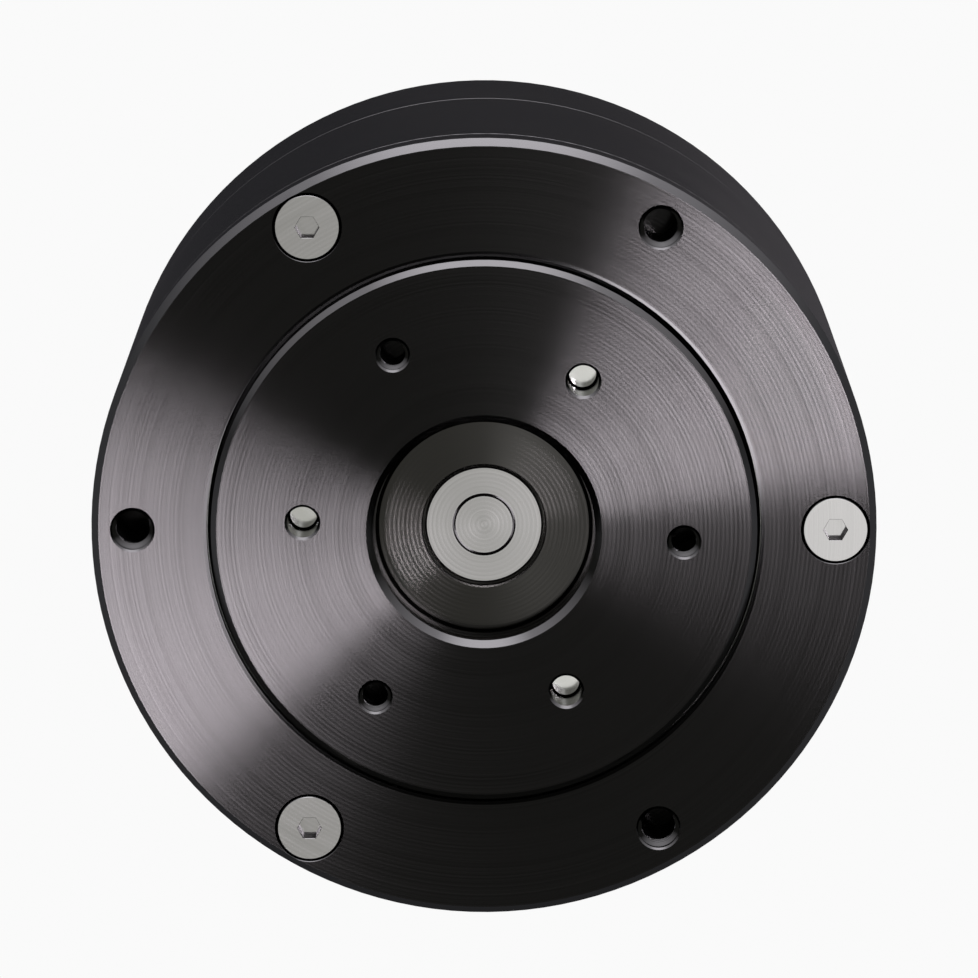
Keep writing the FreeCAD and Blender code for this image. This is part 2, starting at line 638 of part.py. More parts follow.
def gearbox_cover_screws():
    screws = []
    under_head = GEAR_REAR_DEPTH + COVER_PLATE_THICKNESS
    tip = GEAR_REAR_DEPTH - COVER_SCREW_LENGTH + SEAT_GAP
    for angle in cover_screw_angles():
        spot = at(angle, COVER_SCREW_CIRCLE_RADIUS)
        shank = cylinder(COVER_SCREW_RADIUS, tip, under_head, spot)
        head = cylinder(COVER_SCREW_HEAD_RADIUS, under_head, under_head + COVER_SCREW_HEAD_HEIGHT, spot)
        screws.append(shank.fuse(head).removeSplitter())
    return group(screws)


def ball_race(inner, outer, front, rear, ball_circle, ball_radius):
    """A bearing ring with the groove that the balls run in."""
    ring = cylinder(outer, front, rear).cut(cylinder(inner, front, rear))
    centre = Vector(0, 0, z_at((front + rear) / 2))
    groove = Part.makeTorus(ball_circle, ball_radius + RUNNING_GAP, centre, AXIS)
    return ring.cut(groove)


def ball_angles(count):
    return spaced(180.0 / count, count)


def balls(count, ball_circle, ball_radius, front, rear):
    z = z_at((front + rear) / 2)
    return group([Part.makeSphere(ball_radius, polar(ball_circle, a, z)) for a in ball_angles(count)])


def ball_cage(count, ball_circle, ball_radius, front, rear):
    """The ring that keeps the balls apart, with a round pocket for each."""
    middle = (front + rear) / 2
    half = ball_radius * CAGE_WIDTH_SHARE
    thin = ball_radius * CAGE_WALL_SHARE
    ring = cylinder(ball_circle + thin, middle - half, middle + half)
    ring = ring.cut(cylinder(ball_circle - thin, middle - half, middle + half))
    pocket = ball_radius + RUNNING_GAP
    inside = ball_circle - ball_radius
    pockets = [
        Part.makeCylinder(pocket, 2 * ball_radius, polar(inside, angle, z_at(middle)), polar(1.0, angle))
        for angle in ball_angles(count)
    ]
    return ring.cut(group(pockets))


def race_edges(bore, outer, ball_radius):
    """The outside radius of the inner ring and the inside radius of the outer ring."""
    middle = (bore + outer) / 2
    half_space = ball_radius * RACE_SPACE_SHARE
    return middle - half_space, middle + half_space


def output_bearing():
    front, rear = BEARING_DEPTH, BEARING_REAR_DEPTH
    inner_edge, outer_edge = race_edges(BEARING_BORE_RADIUS, BEARING_OUTER_RADIUS, BEARING_BALL_RADIUS)
    size = (BALL_CIRCLE_RADIUS, BEARING_BALL_RADIUS)
    shields = [
        turned([
            (inner_edge + RUNNING_GAP * 2, depth),
            (outer_edge, depth),
            (outer_edge, depth + SHIELD_THICKNESS),
            (inner_edge + RUNNING_GAP * 2, depth + SHIELD_THICKNESS),
        ])
        for depth in (front + SHIELD_THICKNESS / 2, rear - SHIELD_THICKNESS * 1.5)
    ]
    return {
        "output_bearing_outer_race": ball_race(outer_edge, BEARING_OUTER_RADIUS, front, rear, *size),
        "output_bearing_inner_race": ball_race(BEARING_BORE_RADIUS, inner_edge, front, rear, *size),
        "output_bearing_balls": balls(BEARING_BALL_COUNT, *size, front, rear),
        "output_bearing_cage": ball_cage(BEARING_BALL_COUNT, *size, front, rear),
        "output_bearing_seals": group(shields),
    }


def rotor_bearing(name, front):
    rear = front + SMALL_BEARING_WIDTH
    inner_edge, outer_edge = race_edges(SHAFT_RADIUS, SMALL_BEARING_OUTER_RADIUS, SMALL_BALL_RADIUS)
    size = (SMALL_BALL_CIRCLE_RADIUS, SMALL_BALL_RADIUS)
    return {
        name + "_outer_race": ball_race(outer_edge, SMALL_BEARING_OUTER_RADIUS, front, rear, *size),
        name + "_inner_race": ball_race(SHAFT_RADIUS, inner_edge, front, rear, *size),
        name + "_balls": balls(SMALL_BALL_COUNT, *size, front, rear),
        name + "_cage": ball_cage(SMALL_BALL_COUNT, *size, front, rear),
    }


def output_flange():
    """The turning output: face, bearing journal and the three pillars of the planet carrier."""
    face = -FLANGE_PROUD
    mouth = CENTRE_BORE_MOUTH_CHAMFER
    seat = CENTRE_HEAD_RADIUS + SCREW_HOLE_GAP
    flange = turned([
        (CENTRE_BORE_RADIUS + mouth, face),
        (FLANGE_RADIUS - FLANGE_EDGE_CHAMFER, face),
        (FLANGE_RADIUS, face + FLANGE_EDGE_CHAMFER),
        (FLANGE_RADIUS, BEARING_DEPTH),
        (BEARING_BORE_RADIUS, BEARING_DEPTH),
        (BEARING_BORE_RADIUS, FLANGE_REAR_DEPTH),
        (CENTRE_SHANK_RADIUS, FLANGE_REAR_DEPTH),
        (CENTRE_SHANK_RADIUS, CENTRE_HEAD_REAR_DEPTH),
        (seat, CENTRE_HEAD_REAR_DEPTH),
        (seat, CAP_REAR_DEPTH),
        (CAP_SEAT_RADIUS, CAP_REAR_DEPTH),
        (CAP_SEAT_RADIUS, CAP_DEPTH - CAP_LEDGE_AHEAD),
        (CENTRE_BORE_RADIUS, CAP_DEPTH - CAP_LEDGE_AHEAD),
        (CENTRE_BORE_RADIUS, face + mouth),
    ])
    for angle in pillar_angles():
        spot = at(angle, OUTPUT_HOLE_CIRCLE_RADIUS)
        flange = flange.fuse(cylinder(PILLAR_RADIUS, FLANGE_REAR_DEPTH, GEAR_REAR_DEPTH, spot))
    flange = flange.removeSplitter()
    tools = [output_hole_tool(angle) for angle in pillar_angles()]
    tools += [pin_hole_tool(angle) for angle in planet_angles()]
    tools += [carrier_screw_thread(angle) for angle in pillar_angles()]
    return flange.cut(group(tools))


def output_hole_tool(angle):
    face = -FLANGE_PROUD
    spot = at(angle, OUTPUT_HOLE_CIRCLE_RADIUS)
    return mouthed_hole(OUTPUT_THREAD_RADIUS, OUTPUT_THREAD_MOUTH, face, face + OUTPUT_THREAD_DEPTH, spot)


def pin_hole_tool(angle):
    spot = at(angle, PLANET_CIRCLE_RADIUS)
    return mouthed_hole(PIN_RADIUS, PIN_HOLE_MOUTH, -FLANGE_PROUD, FLANGE_REAR_DEPTH, spot)


def carrier_screw_thread(angle):
    spot = at(angle, OUTPUT_HOLE_CIRCLE_RADIUS)
    tip = CARRIER_REAR_DEPTH - CARRIER_SCREW_LENGTH
    return thread_seat(CARRIER_SCREW_SHANK_RADIUS, tip - SEAT_GAP, GEAR_REAR_DEPTH, spot)


def carrier_plate():
    plate = cylinder(CARRIER_PLATE_RADIUS, GEAR_REAR_DEPTH, CARRIER_REAR_DEPTH)
    tools = [cylinder(CARRIER_PLATE_BORE_RADIUS, GEAR_REAR_DEPTH, CARRIER_REAR_DEPTH)]
    for angle in pillar_angles():
        tools.append(rear_flat_head_seat(
            CARRIER_SCREW_SHANK_RADIUS, CARRIER_SCREW_HEAD_RADIUS, GEAR_REAR_DEPTH, CARRIER_REAR_DEPTH,
            at(angle, OUTPUT_HOLE_CIRCLE_RADIUS)))
    for angle in planet_angles():
        spot = at(angle, PLANET_CIRCLE_RADIUS)
        tools.append(cylinder(PIN_RADIUS, GEAR_REAR_DEPTH, CARRIER_REAR_DEPTH, spot))
    return plate.cut(group(tools))


def carrier_screws():
    return group([
        rear_flat_head_screw(
            CARRIER_SCREW_SHANK_RADIUS, CARRIER_SCREW_HEAD_RADIUS, CARRIER_SCREW_LENGTH,
            CARRIER_REAR_DEPTH, at(angle, OUTPUT_HOLE_CIRCLE_RADIUS))
        for angle in pillar_angles()
    ])


def planet_pins():
    pins = []
    for angle in planet_angles():
        spot = at(angle, PLANET_CIRCLE_RADIUS)
        tip = cone(PIN_RADIUS - PIN_END_CHAMFER, PIN_RADIUS, PIN_DEPTH, PIN_DEPTH + PIN_END_CHAMFER, spot)
        bar = cylinder(PIN_RADIUS, PIN_DEPTH + PIN_END_CHAMFER, CARRIER_REAR_DEPTH, spot)
        pins.append(tip.fuse(bar).removeSplitter())
    return group(pins)


def centre_cap():
    edge = CAP_EDGE_ROUND
    hole = CAP_HOLE_CHAMFER
    return turned([
        (CAP_HOLE_RADIUS + hole, CAP_DEPTH),
        (CAP_RADIUS - edge, CAP_DEPTH),
        (CAP_RADIUS, CAP_DEPTH + edge),
        (CAP_RADIUS, CAP_REAR_DEPTH),
        (CAP_HOLE_RADIUS, CAP_REAR_DEPTH),
        (CAP_HOLE_RADIUS, CAP_DEPTH + hole),
    ])


def centre_shaft():
    """The silver head in the middle of the flange and the thin rod that carries its angle to the back."""
    top = CENTRE_HEAD_DEPTH
    edge = CENTRE_HEAD_CHAMFER
    groove = CENTRE_GROOVE_WIDTH / 2
    return turned([
        (0, top),
        (CENTRE_GROOVE_RADIUS - groove, top),
        (CENTRE_GROOVE_RADIUS, top + CENTRE_GROOVE_DEPTH),
        (CENTRE_GROOVE_RADIUS + groove, top),
        (CENTRE_HEAD_RADIUS - edge, top),
        (CENTRE_HEAD_RADIUS, top + edge),
        (CENTRE_HEAD_RADIUS, CENTRE_HEAD_REAR_DEPTH),
        (CENTRE_SHANK_RADIUS, CENTRE_HEAD_REAR_DEPTH),
        (CENTRE_SHANK_RADIUS, FLANGE_REAR_DEPTH),
        (CENTRE_ROD_RADIUS, FLANGE_REAR_DEPTH),
        (CENTRE_ROD_RADIUS, OUTPUT_MAGNET_DEPTH),
        (0, OUTPUT_MAGNET_DEPTH),
    ])


def output_angle_magnet():
    return cylinder(OUTPUT_MAGNET_RADIUS, OUTPUT_MAGNET_DEPTH, OUTPUT_MAGNET_REAR_DEPTH)


def planet_gear(index):
    angle = planet_angles()[index]
    ring_phase = RING_TEETH * (angle - planet_angles()[0]) / 360.0
    start = angle - 360.0 / PLANET_TEETH * (ring_phase - 0.5)
    gear = toothed_bar(PLANET_TEETH, start, SUN_FRONT_DEPTH, SUN_REAR_DEPTH)
    gear = gear.cut(cylinder(BUSH_OUTER_RADIUS, SUN_FRONT_DEPTH, SUN_REAR_DEPTH))
    gear.translate(polar(PLANET_CIRCLE_RADIUS, angle))
    return gear


def planet_bush(index):
    spot = at(planet_angles()[index], PLANET_CIRCLE_RADIUS)
    bush = cylinder(BUSH_OUTER_RADIUS, SUN_FRONT_DEPTH, SUN_REAR_DEPTH, spot)
    return bush.cut(cylinder(PIN_RADIUS + RUNNING_GAP, SUN_FRONT_DEPTH, SUN_REAR_DEPTH, spot))


def sun_gear():
    gear = toothed_bar(SUN_TEETH, planet_angles()[0], SUN_FRONT_DEPTH, SUN_REAR_DEPTH)
    return gear.cut(cylinder(SHAFT_RADIUS, SUN_FRONT_DEPTH, SUN_REAR_DEPTH))


def rotor_shaft():
    shaft = cylinder(SHAFT_RADIUS, SUN_FRONT_DEPTH, SHAFT_REAR_DEPTH)
    return shaft.cut(cylinder(SHAFT_BORE_RADIUS, SUN_FRONT_DEPTH, SHAFT_REAR_DEPTH))


def rotor_disc():
    disc = turned([
        (SHAFT_RADIUS, ROTOR_FRONT_DEPTH),
        (FLUX_RING_INNER_RADIUS, ROTOR_FRONT_DEPTH),
        (FLUX_RING_INNER_RADIUS, ROTOR_REAR_DEPTH),
        (SHAFT_RADIUS + ROTOR_BOSS_WALL, ROTOR_REAR_DEPTH),
        (SHAFT_RADIUS + ROTOR_BOSS_WALL, HUB_FRONT_DEPTH),
        (SHAFT_RADIUS, HUB_FRONT_DEPTH),
    ])
    windows = [
        cylinder(ROTOR_WINDOW_RADIUS, ROTOR_FRONT_DEPTH, ROTOR_REAR_DEPTH, at(a, ROTOR_WINDOW_CIRCLE_RADIUS))
        for a in spaced(0.0, ROTOR_WINDOW_COUNT)
    ]
    return disc.cut(group(windows))


def rotor_ring():
    ring = cylinder(FLUX_RING_OUTER_RADIUS, ROTOR_FRONT_DEPTH, WINDING_REAR_DEPTH)
    return ring.cut(cylinder(FLUX_RING_INNER_RADIUS, ROTOR_FRONT_DEPTH, WINDING_REAR_DEPTH))


def sector(inner, outer, half_angle, front, rear):
    """A block with curved inner and outer faces, centred on the X direction."""
    low, high = -half_angle, half_angle
    edges = [
        Part.Arc(polar(outer, low), polar(outer, 0), polar(outer, high)).toShape(),
        Part.makeLine(polar(outer, high), polar(inner, high)),
        Part.Arc(polar(inner, high), polar(inner, 0), polar(inner, low)).toShape(),
        Part.makeLine(polar(inner, low), polar(outer, low)),
    ]
    block = Part.Face(Part.Wire(edges)).extrude(AXIS * (rear - front))
    block.translate(AXIS * z_at(rear))
    return block


def turned_copies(shape, angles):
    copies = []
    for angle in angles:
        copy = shape.copy()
        copy.rotate(Vector(0, 0, 0), AXIS, angle)
        copies.append(copy)
    return copies


def rotor_magnets():
    half = 180.0 / MAGNET_COUNT - MAGNET_SPACE_ANGLE / 2
    block = sector(MAGNET_INNER_RADIUS, FLUX_RING_INNER_RADIUS, half, STATOR_FRONT_DEPTH, STATOR_REAR_DEPTH)
    return group(turned_copies(block, spaced(0.0, MAGNET_COUNT)))


def stator_core():
    front, rear = STATOR_FRONT_DEPTH, STATOR_REAR_DEPTH
    core = cylinder(STATOR_YOKE_RADIUS, front, rear)
    length = STATOR_RADIUS - STATOR_SHOE_THICKNESS / 2
    corner = Vector(0, -STATOR_TOOTH_WIDTH / 2, z_at(rear))
    tooth = Part.makeBox(length, STATOR_TOOTH_WIDTH, rear - front, corner)
    half_shoe = 180.0 / SLOT_COUNT - math.degrees(STATOR_SHOE_OPENING / 2 / STATOR_RADIUS)
    shoe = sector(STATOR_RADIUS - STATOR_SHOE_THICKNESS, STATOR_RADIUS, half_shoe, front, rear)
    tooth = tooth.fuse(shoe)
    core = core.multiFuse(turned_copies(tooth, spaced(0.0, SLOT_COUNT))).removeSplitter()
    return core.cut(cylinder(HUB_RADIUS, front, rear))


def stator_windings():
    """One coil on each tooth, each a closed loop of copper with rounded ends."""
    length = COIL_OUTER - COIL_INNER
    middle = (COIL_INNER + COIL_OUTER) / 2
    coil = block(length, 2 * COIL_HALF_WIDTH, WINDING_FRONT_DEPTH, WINDING_REAR_DEPTH, middle, 0)
    along = [e for e in coil.Edges if abs(e.tangentAt(e.FirstParameter).x) > 0.99]
    coil = coil.makeFillet(WINDING_THICKNESS, along)
    hole_width = STATOR_TOOTH_WIDTH + 2 * SEAT_GAP
    hole = block(length, hole_width, STATOR_FRONT_DEPTH - SEAT_GAP, STATOR_REAR_DEPTH + SEAT_GAP, middle, 0)
    return group(turned_copies(coil.cut(hole), spaced(0.0, SLOT_COUNT)))


def lead_angles():
    return spaced(0.0, 3)


def phase_leads():
    """Three thick wires from the windings through the bulkhead to the board."""
    return group([
        cylinder(LEAD_RADIUS, WINDING_REAR_DEPTH, BOARD_FRONT_DEPTH, at(a, LEAD_CIRCLE_RADIUS))
        for a in lead_angles()
    ])


def rear_housing():
    """The cup behind the motor: hub for stator and bearings, bulkhead, and room for the board."""
    edge = JOINT_EDGE_CHAMFER
    chamfer = REAR_EDGE_CHAMFER
    recess = BACK_COVER_RADIUS + BACK_COVER_GAP
    pocket = SMALL_BEARING_OUTER_RADIUS
    front_pocket = HUB_FRONT_DEPTH + SMALL_BEARING_WIDTH
    hub_bore = pocket - HUB_BORE_STEP
    relief_inner = pocket + HUB_INNER_WALL
    relief_outer = HUB_RADIUS - HUB_OUTER_WALL
    shoulder = HUB_RADIUS + HUB_SHOULDER_HEIGHT
    shell = turned([
        (pocket, HUB_FRONT_DEPTH),
        (relief_inner, HUB_FRONT_DEPTH),
        (relief_inner, STATOR_REAR_DEPTH),
        (relief_outer, STATOR_REAR_DEPTH),
        (relief_outer, HUB_FRONT_DEPTH),
        (HUB_RADIUS, HUB_FRONT_DEPTH),
        (HUB_RADIUS, STATOR_REAR_DEPTH),
        (shoulder, STATOR_REAR_DEPTH),
        (shoulder, BULKHEAD_FRONT_DEPTH),
        (MOTOR_BORE_RADIUS, BULKHEAD_FRONT_DEPTH),
        (MOTOR_BORE_RADIUS, PARTING_DEPTH),
        (BODY_RADIUS - edge, PARTING_DEPTH),
        (BODY_RADIUS, PARTING_DEPTH + edge),
        (BODY_RADIUS, BODY_LENGTH - chamfer),
        (BODY_RADIUS - chamfer, BODY_LENGTH),
        (recess, BODY_LENGTH),
        (recess, COVER_FRONT_DEPTH),
        (CONTROLLER_BORE_RADIUS, COVER_FRONT_DEPTH),
        (CONTROLLER_BORE_RADIUS, BULKHEAD_REAR_DEPTH),
        (pocket, BULKHEAD_REAR_DEPTH),
        (pocket, SMALL_REAR_BEARING_DEPTH),
        (hub_bore, SMALL_REAR_BEARING_DEPTH),
        (hub_bore, front_pocket),
        (pocket, front_pocket),
    ])
    bosses = [
        cylinder(COVER_BOSS_RADIUS, BULKHEAD_REAR_DEPTH, COVER_FRONT_DEPTH, at(a, COVER_BOSS_CIRCLE_RADIUS))
        for a in back_screw_angles()
    ]
    bosses += [
        cylinder(STANDOFF_RADIUS, BULKHEAD_REAR_DEPTH, BOARD_FRONT_DEPTH, at(a, STANDOFF_CIRCLE_RADIUS))
        for a in standoff_angles()
    ]
    shell = shell.multiFuse(bosses).removeSplitter()
    return shell.cut(group(rear_housing_holes()))


def rear_housing_holes():
    tools = []
    for angle in spaced(LONG_SCREW_FIRST_ANGLE, LONG_SCREW_COUNT):
        tools.append(rear_flat_head_seat(
            BACK_SCREW_RADIUS, BACK_SCREW_HEAD_RADIUS, PARTING_DEPTH, BODY_LENGTH,
            at(angle, LONG_SCREW_CIRCLE_RADIUS)))
    for angle in back_screw_angles():
        tip = BODY_LENGTH - BACK_SCREW_LENGTH - SEAT_GAP
        spot = at(angle, COVER_BOSS_CIRCLE_RADIUS)
        tools.append(thread_seat(BACK_SCREW_RADIUS, tip, COVER_FRONT_DEPTH, spot))
    for angle in standoff_angles():
        tip = BOARD_REAR_DEPTH - BOARD_SCREW_LENGTH - SEAT_GAP
        spot = at(angle, STANDOFF_CIRCLE_RADIUS)
        tools.append(thread_seat(BOARD_SCREW_RADIUS, tip, BOARD_FRONT_DEPTH, spot))
    for angle in lead_angles():
        spot = at(angle, LEAD_CIRCLE_RADIUS)
        tools.append(cylinder(LEAD_HOLE_RADIUS, BULKHEAD_FRONT_DEPTH, BULKHEAD_REAR_DEPTH, spot))
    return tools


def back_screw_angles():
    return spaced(COVER_BOSS_FIRST_ANGLE, COVER_BOSS_COUNT)


def standoff_angles():
    return [STANDOFF_ANGLE + i * STANDOFF_SPREAD for i in (-1, 0, 1)]


def long_screws():
    """Screws that run from the back through the rear housing into the gear housing."""
    return group([
        rear_flat_head_screw(
            BACK_SCREW_RADIUS, BACK_SCREW_HEAD_RADIUS, LONG_SCREW_LENGTH, BODY_LENGTH,
            at(angle, LONG_SCREW_CIRCLE_RADIUS))
        for angle in spaced(LONG_SCREW_FIRST_ANGLE, LONG_SCREW_COUNT)
    ])


def back_cover_screws():
    return group([
        rear_flat_head_screw(
            BACK_SCREW_RADIUS, BACK_SCREW_HEAD_RADIUS, BACK_SCREW_LENGTH, BODY_LENGTH,
            at(angle, COVER_BOSS_CIRCLE_RADIUS))
        for angle in back_screw_angles()
    ])


def sockets():
    """Each connector as name, centre, width and height."""
    power = ("power_socket", 0.0, POWER_SOCKET_WIDTH, POWER_SOCKET_HEIGHT)
    left = ("signal_socket_left", -CONNECTOR_SPACING, SIGNAL_SOCKET_WIDTH, SIGNAL_SOCKET_HEIGHT)
    right = ("signal_socket_right", CONNECTOR_SPACING, SIGNAL_SOCKET_WIDTH, SIGNAL_SOCKET_HEIGHT)
    return [power, left, right]


def block(width, height, front, rear, x, y):
    corner = Vector(x - width / 2, y - height / 2, z_at(rear))
    return Part.makeBox(width, height, rear - front, corner)


def back_cover():
    plate = cylinder(BACK_COVER_RADIUS, COVER_FRONT_DEPTH, BODY_LENGTH)
    tools = [
        rear_flat_head_seat(
            BACK_SCREW_RADIUS, BACK_SCREW_HEAD_RADIUS, COVER_FRONT_DEPTH, BODY_LENGTH,
            at(angle, COVER_BOSS_CIRCLE_RADIUS))
        for angle in back_screw_angles()
    ]
    for name, x, width, height in sockets():
        gap = 2 * CONNECTOR_WINDOW_GAP
        tools.append(block(width + gap, height + gap, COVER_FRONT_DEPTH, BODY_LENGTH, x, CONNECTOR_ROW_Y))
    return plate.cut(group(tools))


def socket_shell(x, width, height):
    """A moulded socket that is open to the back."""
    rear = BODY_LENGTH - CONNECTOR_RECESS
    outside = block(width, height, BOARD_REAR_DEPTH, rear, x, CONNECTOR_ROW_Y)
    wall = 2 * CONNECTOR_WALL
    floor = BOARD_REAR_DEPTH + CONNECTOR_FLOOR
    return outside.cut(block(width - wall, height - wall, floor, rear, x, CONNECTOR_ROW_Y))


def power_pins():
    front = BOARD_REAR_DEPTH + CONNECTOR_FLOOR
    rear = BODY_LENGTH - CONNECTOR_RECESS - PIN_TIP_RECESS
    return group([
        cylinder(POWER_PIN_RADIUS, front, rear, (side * POWER_PIN_SPACING / 2, CONNECTOR_ROW_Y))
        for side in (-1, 1)
    ])


def signal_pins():
    front = BOARD_REAR_DEPTH + CONNECTOR_FLOOR
    rear = BODY_LENGTH - CONNECTOR_RECESS - PIN_TIP_RECESS
    pins = []
    for side in (-1, 1):
        for i in range(SIGNAL_PIN_COUNT):
            x = side * CONNECTOR_SPACING + (i - (SIGNAL_PIN_COUNT - 1) / 2) * SIGNAL_PIN_SPACING
            pins.append(block(SIGNAL_PIN_WIDTH, SIGNAL_PIN_WIDTH, front, rear, x, CONNECTOR_ROW_Y))
    return group(pins)


def controller_board():
    board = cylinder(BOARD_RADIUS, BOARD_FRONT_DEPTH, BOARD_REAR_DEPTH)
    tools = [
        cylinder(COVER_BOSS_RADIUS + BOARD_GAP, BOARD_FRONT_DEPTH, BOARD_REAR_DEPTH,
                 at(a, COVER_BOSS_CIRCLE_RADIUS))
        for a in back_screw_angles()
    ]
    tools += [
        cylinder(BOARD_SCREW_RADIUS + SCREW_HOLE_GAP, BOARD_FRONT_DEPTH, BOARD_REAR_DEPTH,
                 at(a, STANDOFF_CIRCLE_RADIUS))
        for a in standoff_angles()
    ]
    return board.cut(group(tools))


def board_screws():
    screws = []
    for angle in standoff_angles():
        spot = at(angle, STANDOFF_CIRCLE_RADIUS)
        shank = cylinder(BOARD_SCREW_RADIUS, BOARD_REAR_DEPTH - BOARD_SCREW_LENGTH, BOARD_REAR_DEPTH, spot)
        head = cylinder(BOARD_SCREW_HEAD_RADIUS, BOARD_REAR_DEPTH,
                        BOARD_REAR_DEPTH + BOARD_SCREW_HEAD_HEIGHT, spot)
        screws.append(shank.fuse(head).removeSplitter())
    return group(screws)


def power_transistors():
    """Flat power transistors in a row on the back of the board."""
    width, length = TRANSISTOR_WIDTH, TRANSISTOR_LENGTH
    rear = BOARD_REAR_DEPTH + TRANSISTOR_HEIGHT
    places = [(i - (TRANSISTOR_COUNT - 1) / 2) * TRANSISTOR_SPACING for i in range(TRANSISTOR_COUNT)]
    return group([block(width, length, BOARD_REAR_DEPTH, rear, x, TRANSISTOR_ROW_Y) for x in places])


def bus_capacitors():
    """Three low block capacitors."""
    width, length = CAPACITOR_WIDTH, CAPACITOR_LENGTH
    rear = BOARD_REAR_DEPTH + CAPACITOR_HEIGHT
    return group([
        block(width, length, BOARD_REAR_DEPTH, rear, side * CAPACITOR_SPACING, CAPACITOR_ROW_Y)
        for side in (-1, 0, 1)
    ])


def control_chip():
    rear = BOARD_REAR_DEPTH + CONTROL_CHIP_HEIGHT
    return block(CONTROL_CHIP_SIDE, CONTROL_CHIP_SIDE, BOARD_REAR_DEPTH, rear, 0, CONTROL_CHIP_Y)


def angle_sensors():
    """Two sensor chips on the front of the board, facing the two magnets."""
    front = BOARD_FRONT_DEPTH - SENSOR_THICKNESS
    return group([
        block(SENSOR_SIDE, SENSOR_SIDE, front, BOARD_FRONT_DEPTH, x, 0) for x in (0.0, RING_SENSOR_X)
    ])


def rotor_angle_magnet():
    ring = cylinder(MAGNET_RING_RADIUS, SHAFT_REAR_DEPTH, MAGNET_RING_REAR_DEPTH)
    return ring.cut(cylinder(SHAFT_BORE_RADIUS, SHAFT_REAR_DEPTH, MAGNET_RING_REAR_DEPTH))


def pieces():
    made = {
        "front_ring": front_ring(),
        "front_ring_screws": front_ring_screws(),
        "gear_housing": gear_housing(),
        "ring_gear": ring_gear(),
        "ring_gear_dowels": group(dowels()),
        "gearbox_cover": gearbox_cover(),
        "gearbox_cover_screws": gearbox_cover_screws(),
        "output_flange": output_flange(),
        "carrier_plate": carrier_plate(),
        "carrier_screws": carrier_screws(),
        "planet_pins": planet_pins(),
        "centre_cap": centre_cap(),
        "centre_shaft": centre_shaft(),
        "output_angle_magnet": output_angle_magnet(),
        "sun_gear": sun_gear(),
        "rotor_shaft": rotor_shaft(),
        "rotor_disc": rotor_disc(),
        "rotor_ring": rotor_ring(),
        "rotor_magnets": rotor_magnets(),
        "rotor_angle_magnet": rotor_angle_magnet(),
        "stator_core": stator_core(),
        "stator_windings": stator_windings(),
        "phase_leads": phase_leads(),
        "rear_housing": rear_housing(),
        "long_screws": long_screws(),
        "back_cover": back_cover(),
        "back_cover_screws": back_cover_screws(),
        "controller_board": controller_board(),
        "board_screws": board_screws(),
        "power_transistors": power_transistors(),
        "bus_capacitors": bus_capacitors(),
        "control_chip": control_chip(),
        "angle_sensors": angle_sensors(),
        "power_pins": power_pins(),
        "signal_pins": signal_pins(),
    }
    for name, x, width, height in sockets():
        made[name] = socket_shell(x, width, height)
    for index in range(PLANET_COUNT):
        made["planet_gear_%d" % (index + 1)] = planet_gear(index)
        made["planet_bush_%d" % (index + 1)] = planet_bush(index)
    made.update(output_bearing())
    made.update(rotor_bearing("front_rotor_bearing", HUB_FRONT_DEPTH))
    made.update(rotor_bearing("rear_rotor_bearing", SMALL_REAR_BEARING_DEPTH))
    return made


os.makedirs("parts", exist_ok=True)
for node, shape in pieces().items():
    shape.exportStep("parts/" + node + ".step")
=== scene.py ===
"""Looks of the robot joint actuator: materials, threads, screws, light and camera.

Metres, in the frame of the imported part: +Z runs out of the turning face, and the origin is the middle of the
back.
"""
import json
import math

import bpy
from mathutils import Matrix, Vector


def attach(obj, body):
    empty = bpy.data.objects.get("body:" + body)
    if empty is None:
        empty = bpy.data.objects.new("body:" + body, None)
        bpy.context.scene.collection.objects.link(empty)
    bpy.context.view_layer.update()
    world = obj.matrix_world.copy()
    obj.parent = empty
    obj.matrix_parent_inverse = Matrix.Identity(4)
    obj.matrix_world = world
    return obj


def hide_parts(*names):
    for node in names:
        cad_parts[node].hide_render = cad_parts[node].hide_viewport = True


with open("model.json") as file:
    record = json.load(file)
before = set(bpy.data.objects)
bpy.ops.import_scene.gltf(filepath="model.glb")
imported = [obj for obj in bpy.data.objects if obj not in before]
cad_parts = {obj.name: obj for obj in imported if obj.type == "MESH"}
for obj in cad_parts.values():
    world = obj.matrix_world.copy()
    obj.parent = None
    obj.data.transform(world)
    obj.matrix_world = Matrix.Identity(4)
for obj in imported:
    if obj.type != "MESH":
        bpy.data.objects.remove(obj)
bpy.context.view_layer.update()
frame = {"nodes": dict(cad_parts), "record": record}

MM = 0.001
BLACK = (0.0, 0.0, 0.0)
WHITE = (1.0, 1.0, 1.0)

# Heights and radii of the part
FACE_Z = 55.2 * MM
FLANGE_Z = 56.4 * MM
CENTRE_BORE_RADIUS = 10.75 * MM
RING_BORE_RADIUS = 26.85 * MM
LIP_ROUND = 0.28 * MM
LIP_DEPTH = 0.2 * MM
GAP_REACH = 0.6 * MM
GAP_TOP_Z = FLANGE_Z - 0.56 * MM
GAP_FLOOR_Z = 45.0 * MM
CAP_REAR_Z = 45.0 * MM
PIN_END_Z = 51.5 * MM
MARGIN = 0.05 * MM

# Tapped holes: circle radius, first angle, the thread's outside radius, ridge height, pitch, mouth and length
MOUNT_THREAD = (34.0 * MM, 60.0, 2.0 * MM, 0.36 * MM, 0.7 * MM, 0.25 * MM, 8.0 * MM)
OUTPUT_THREAD = (19.35 * MM, -3.0, 1.5 * MM, 0.27 * MM, 0.5 * MM, 0.25 * MM, 6.8 * MM)
HOLE_COUNT = 3

# Section of a thread's ridge, outward in ridge heights and along the hole in pitches, and its steps in a turn
RIDGE_SECTION = [(0.0, -0.43), (-1.0, -0.08), (-1.0, 0.08), (0.0, 0.43)]
RIDGE_STEPS = 40

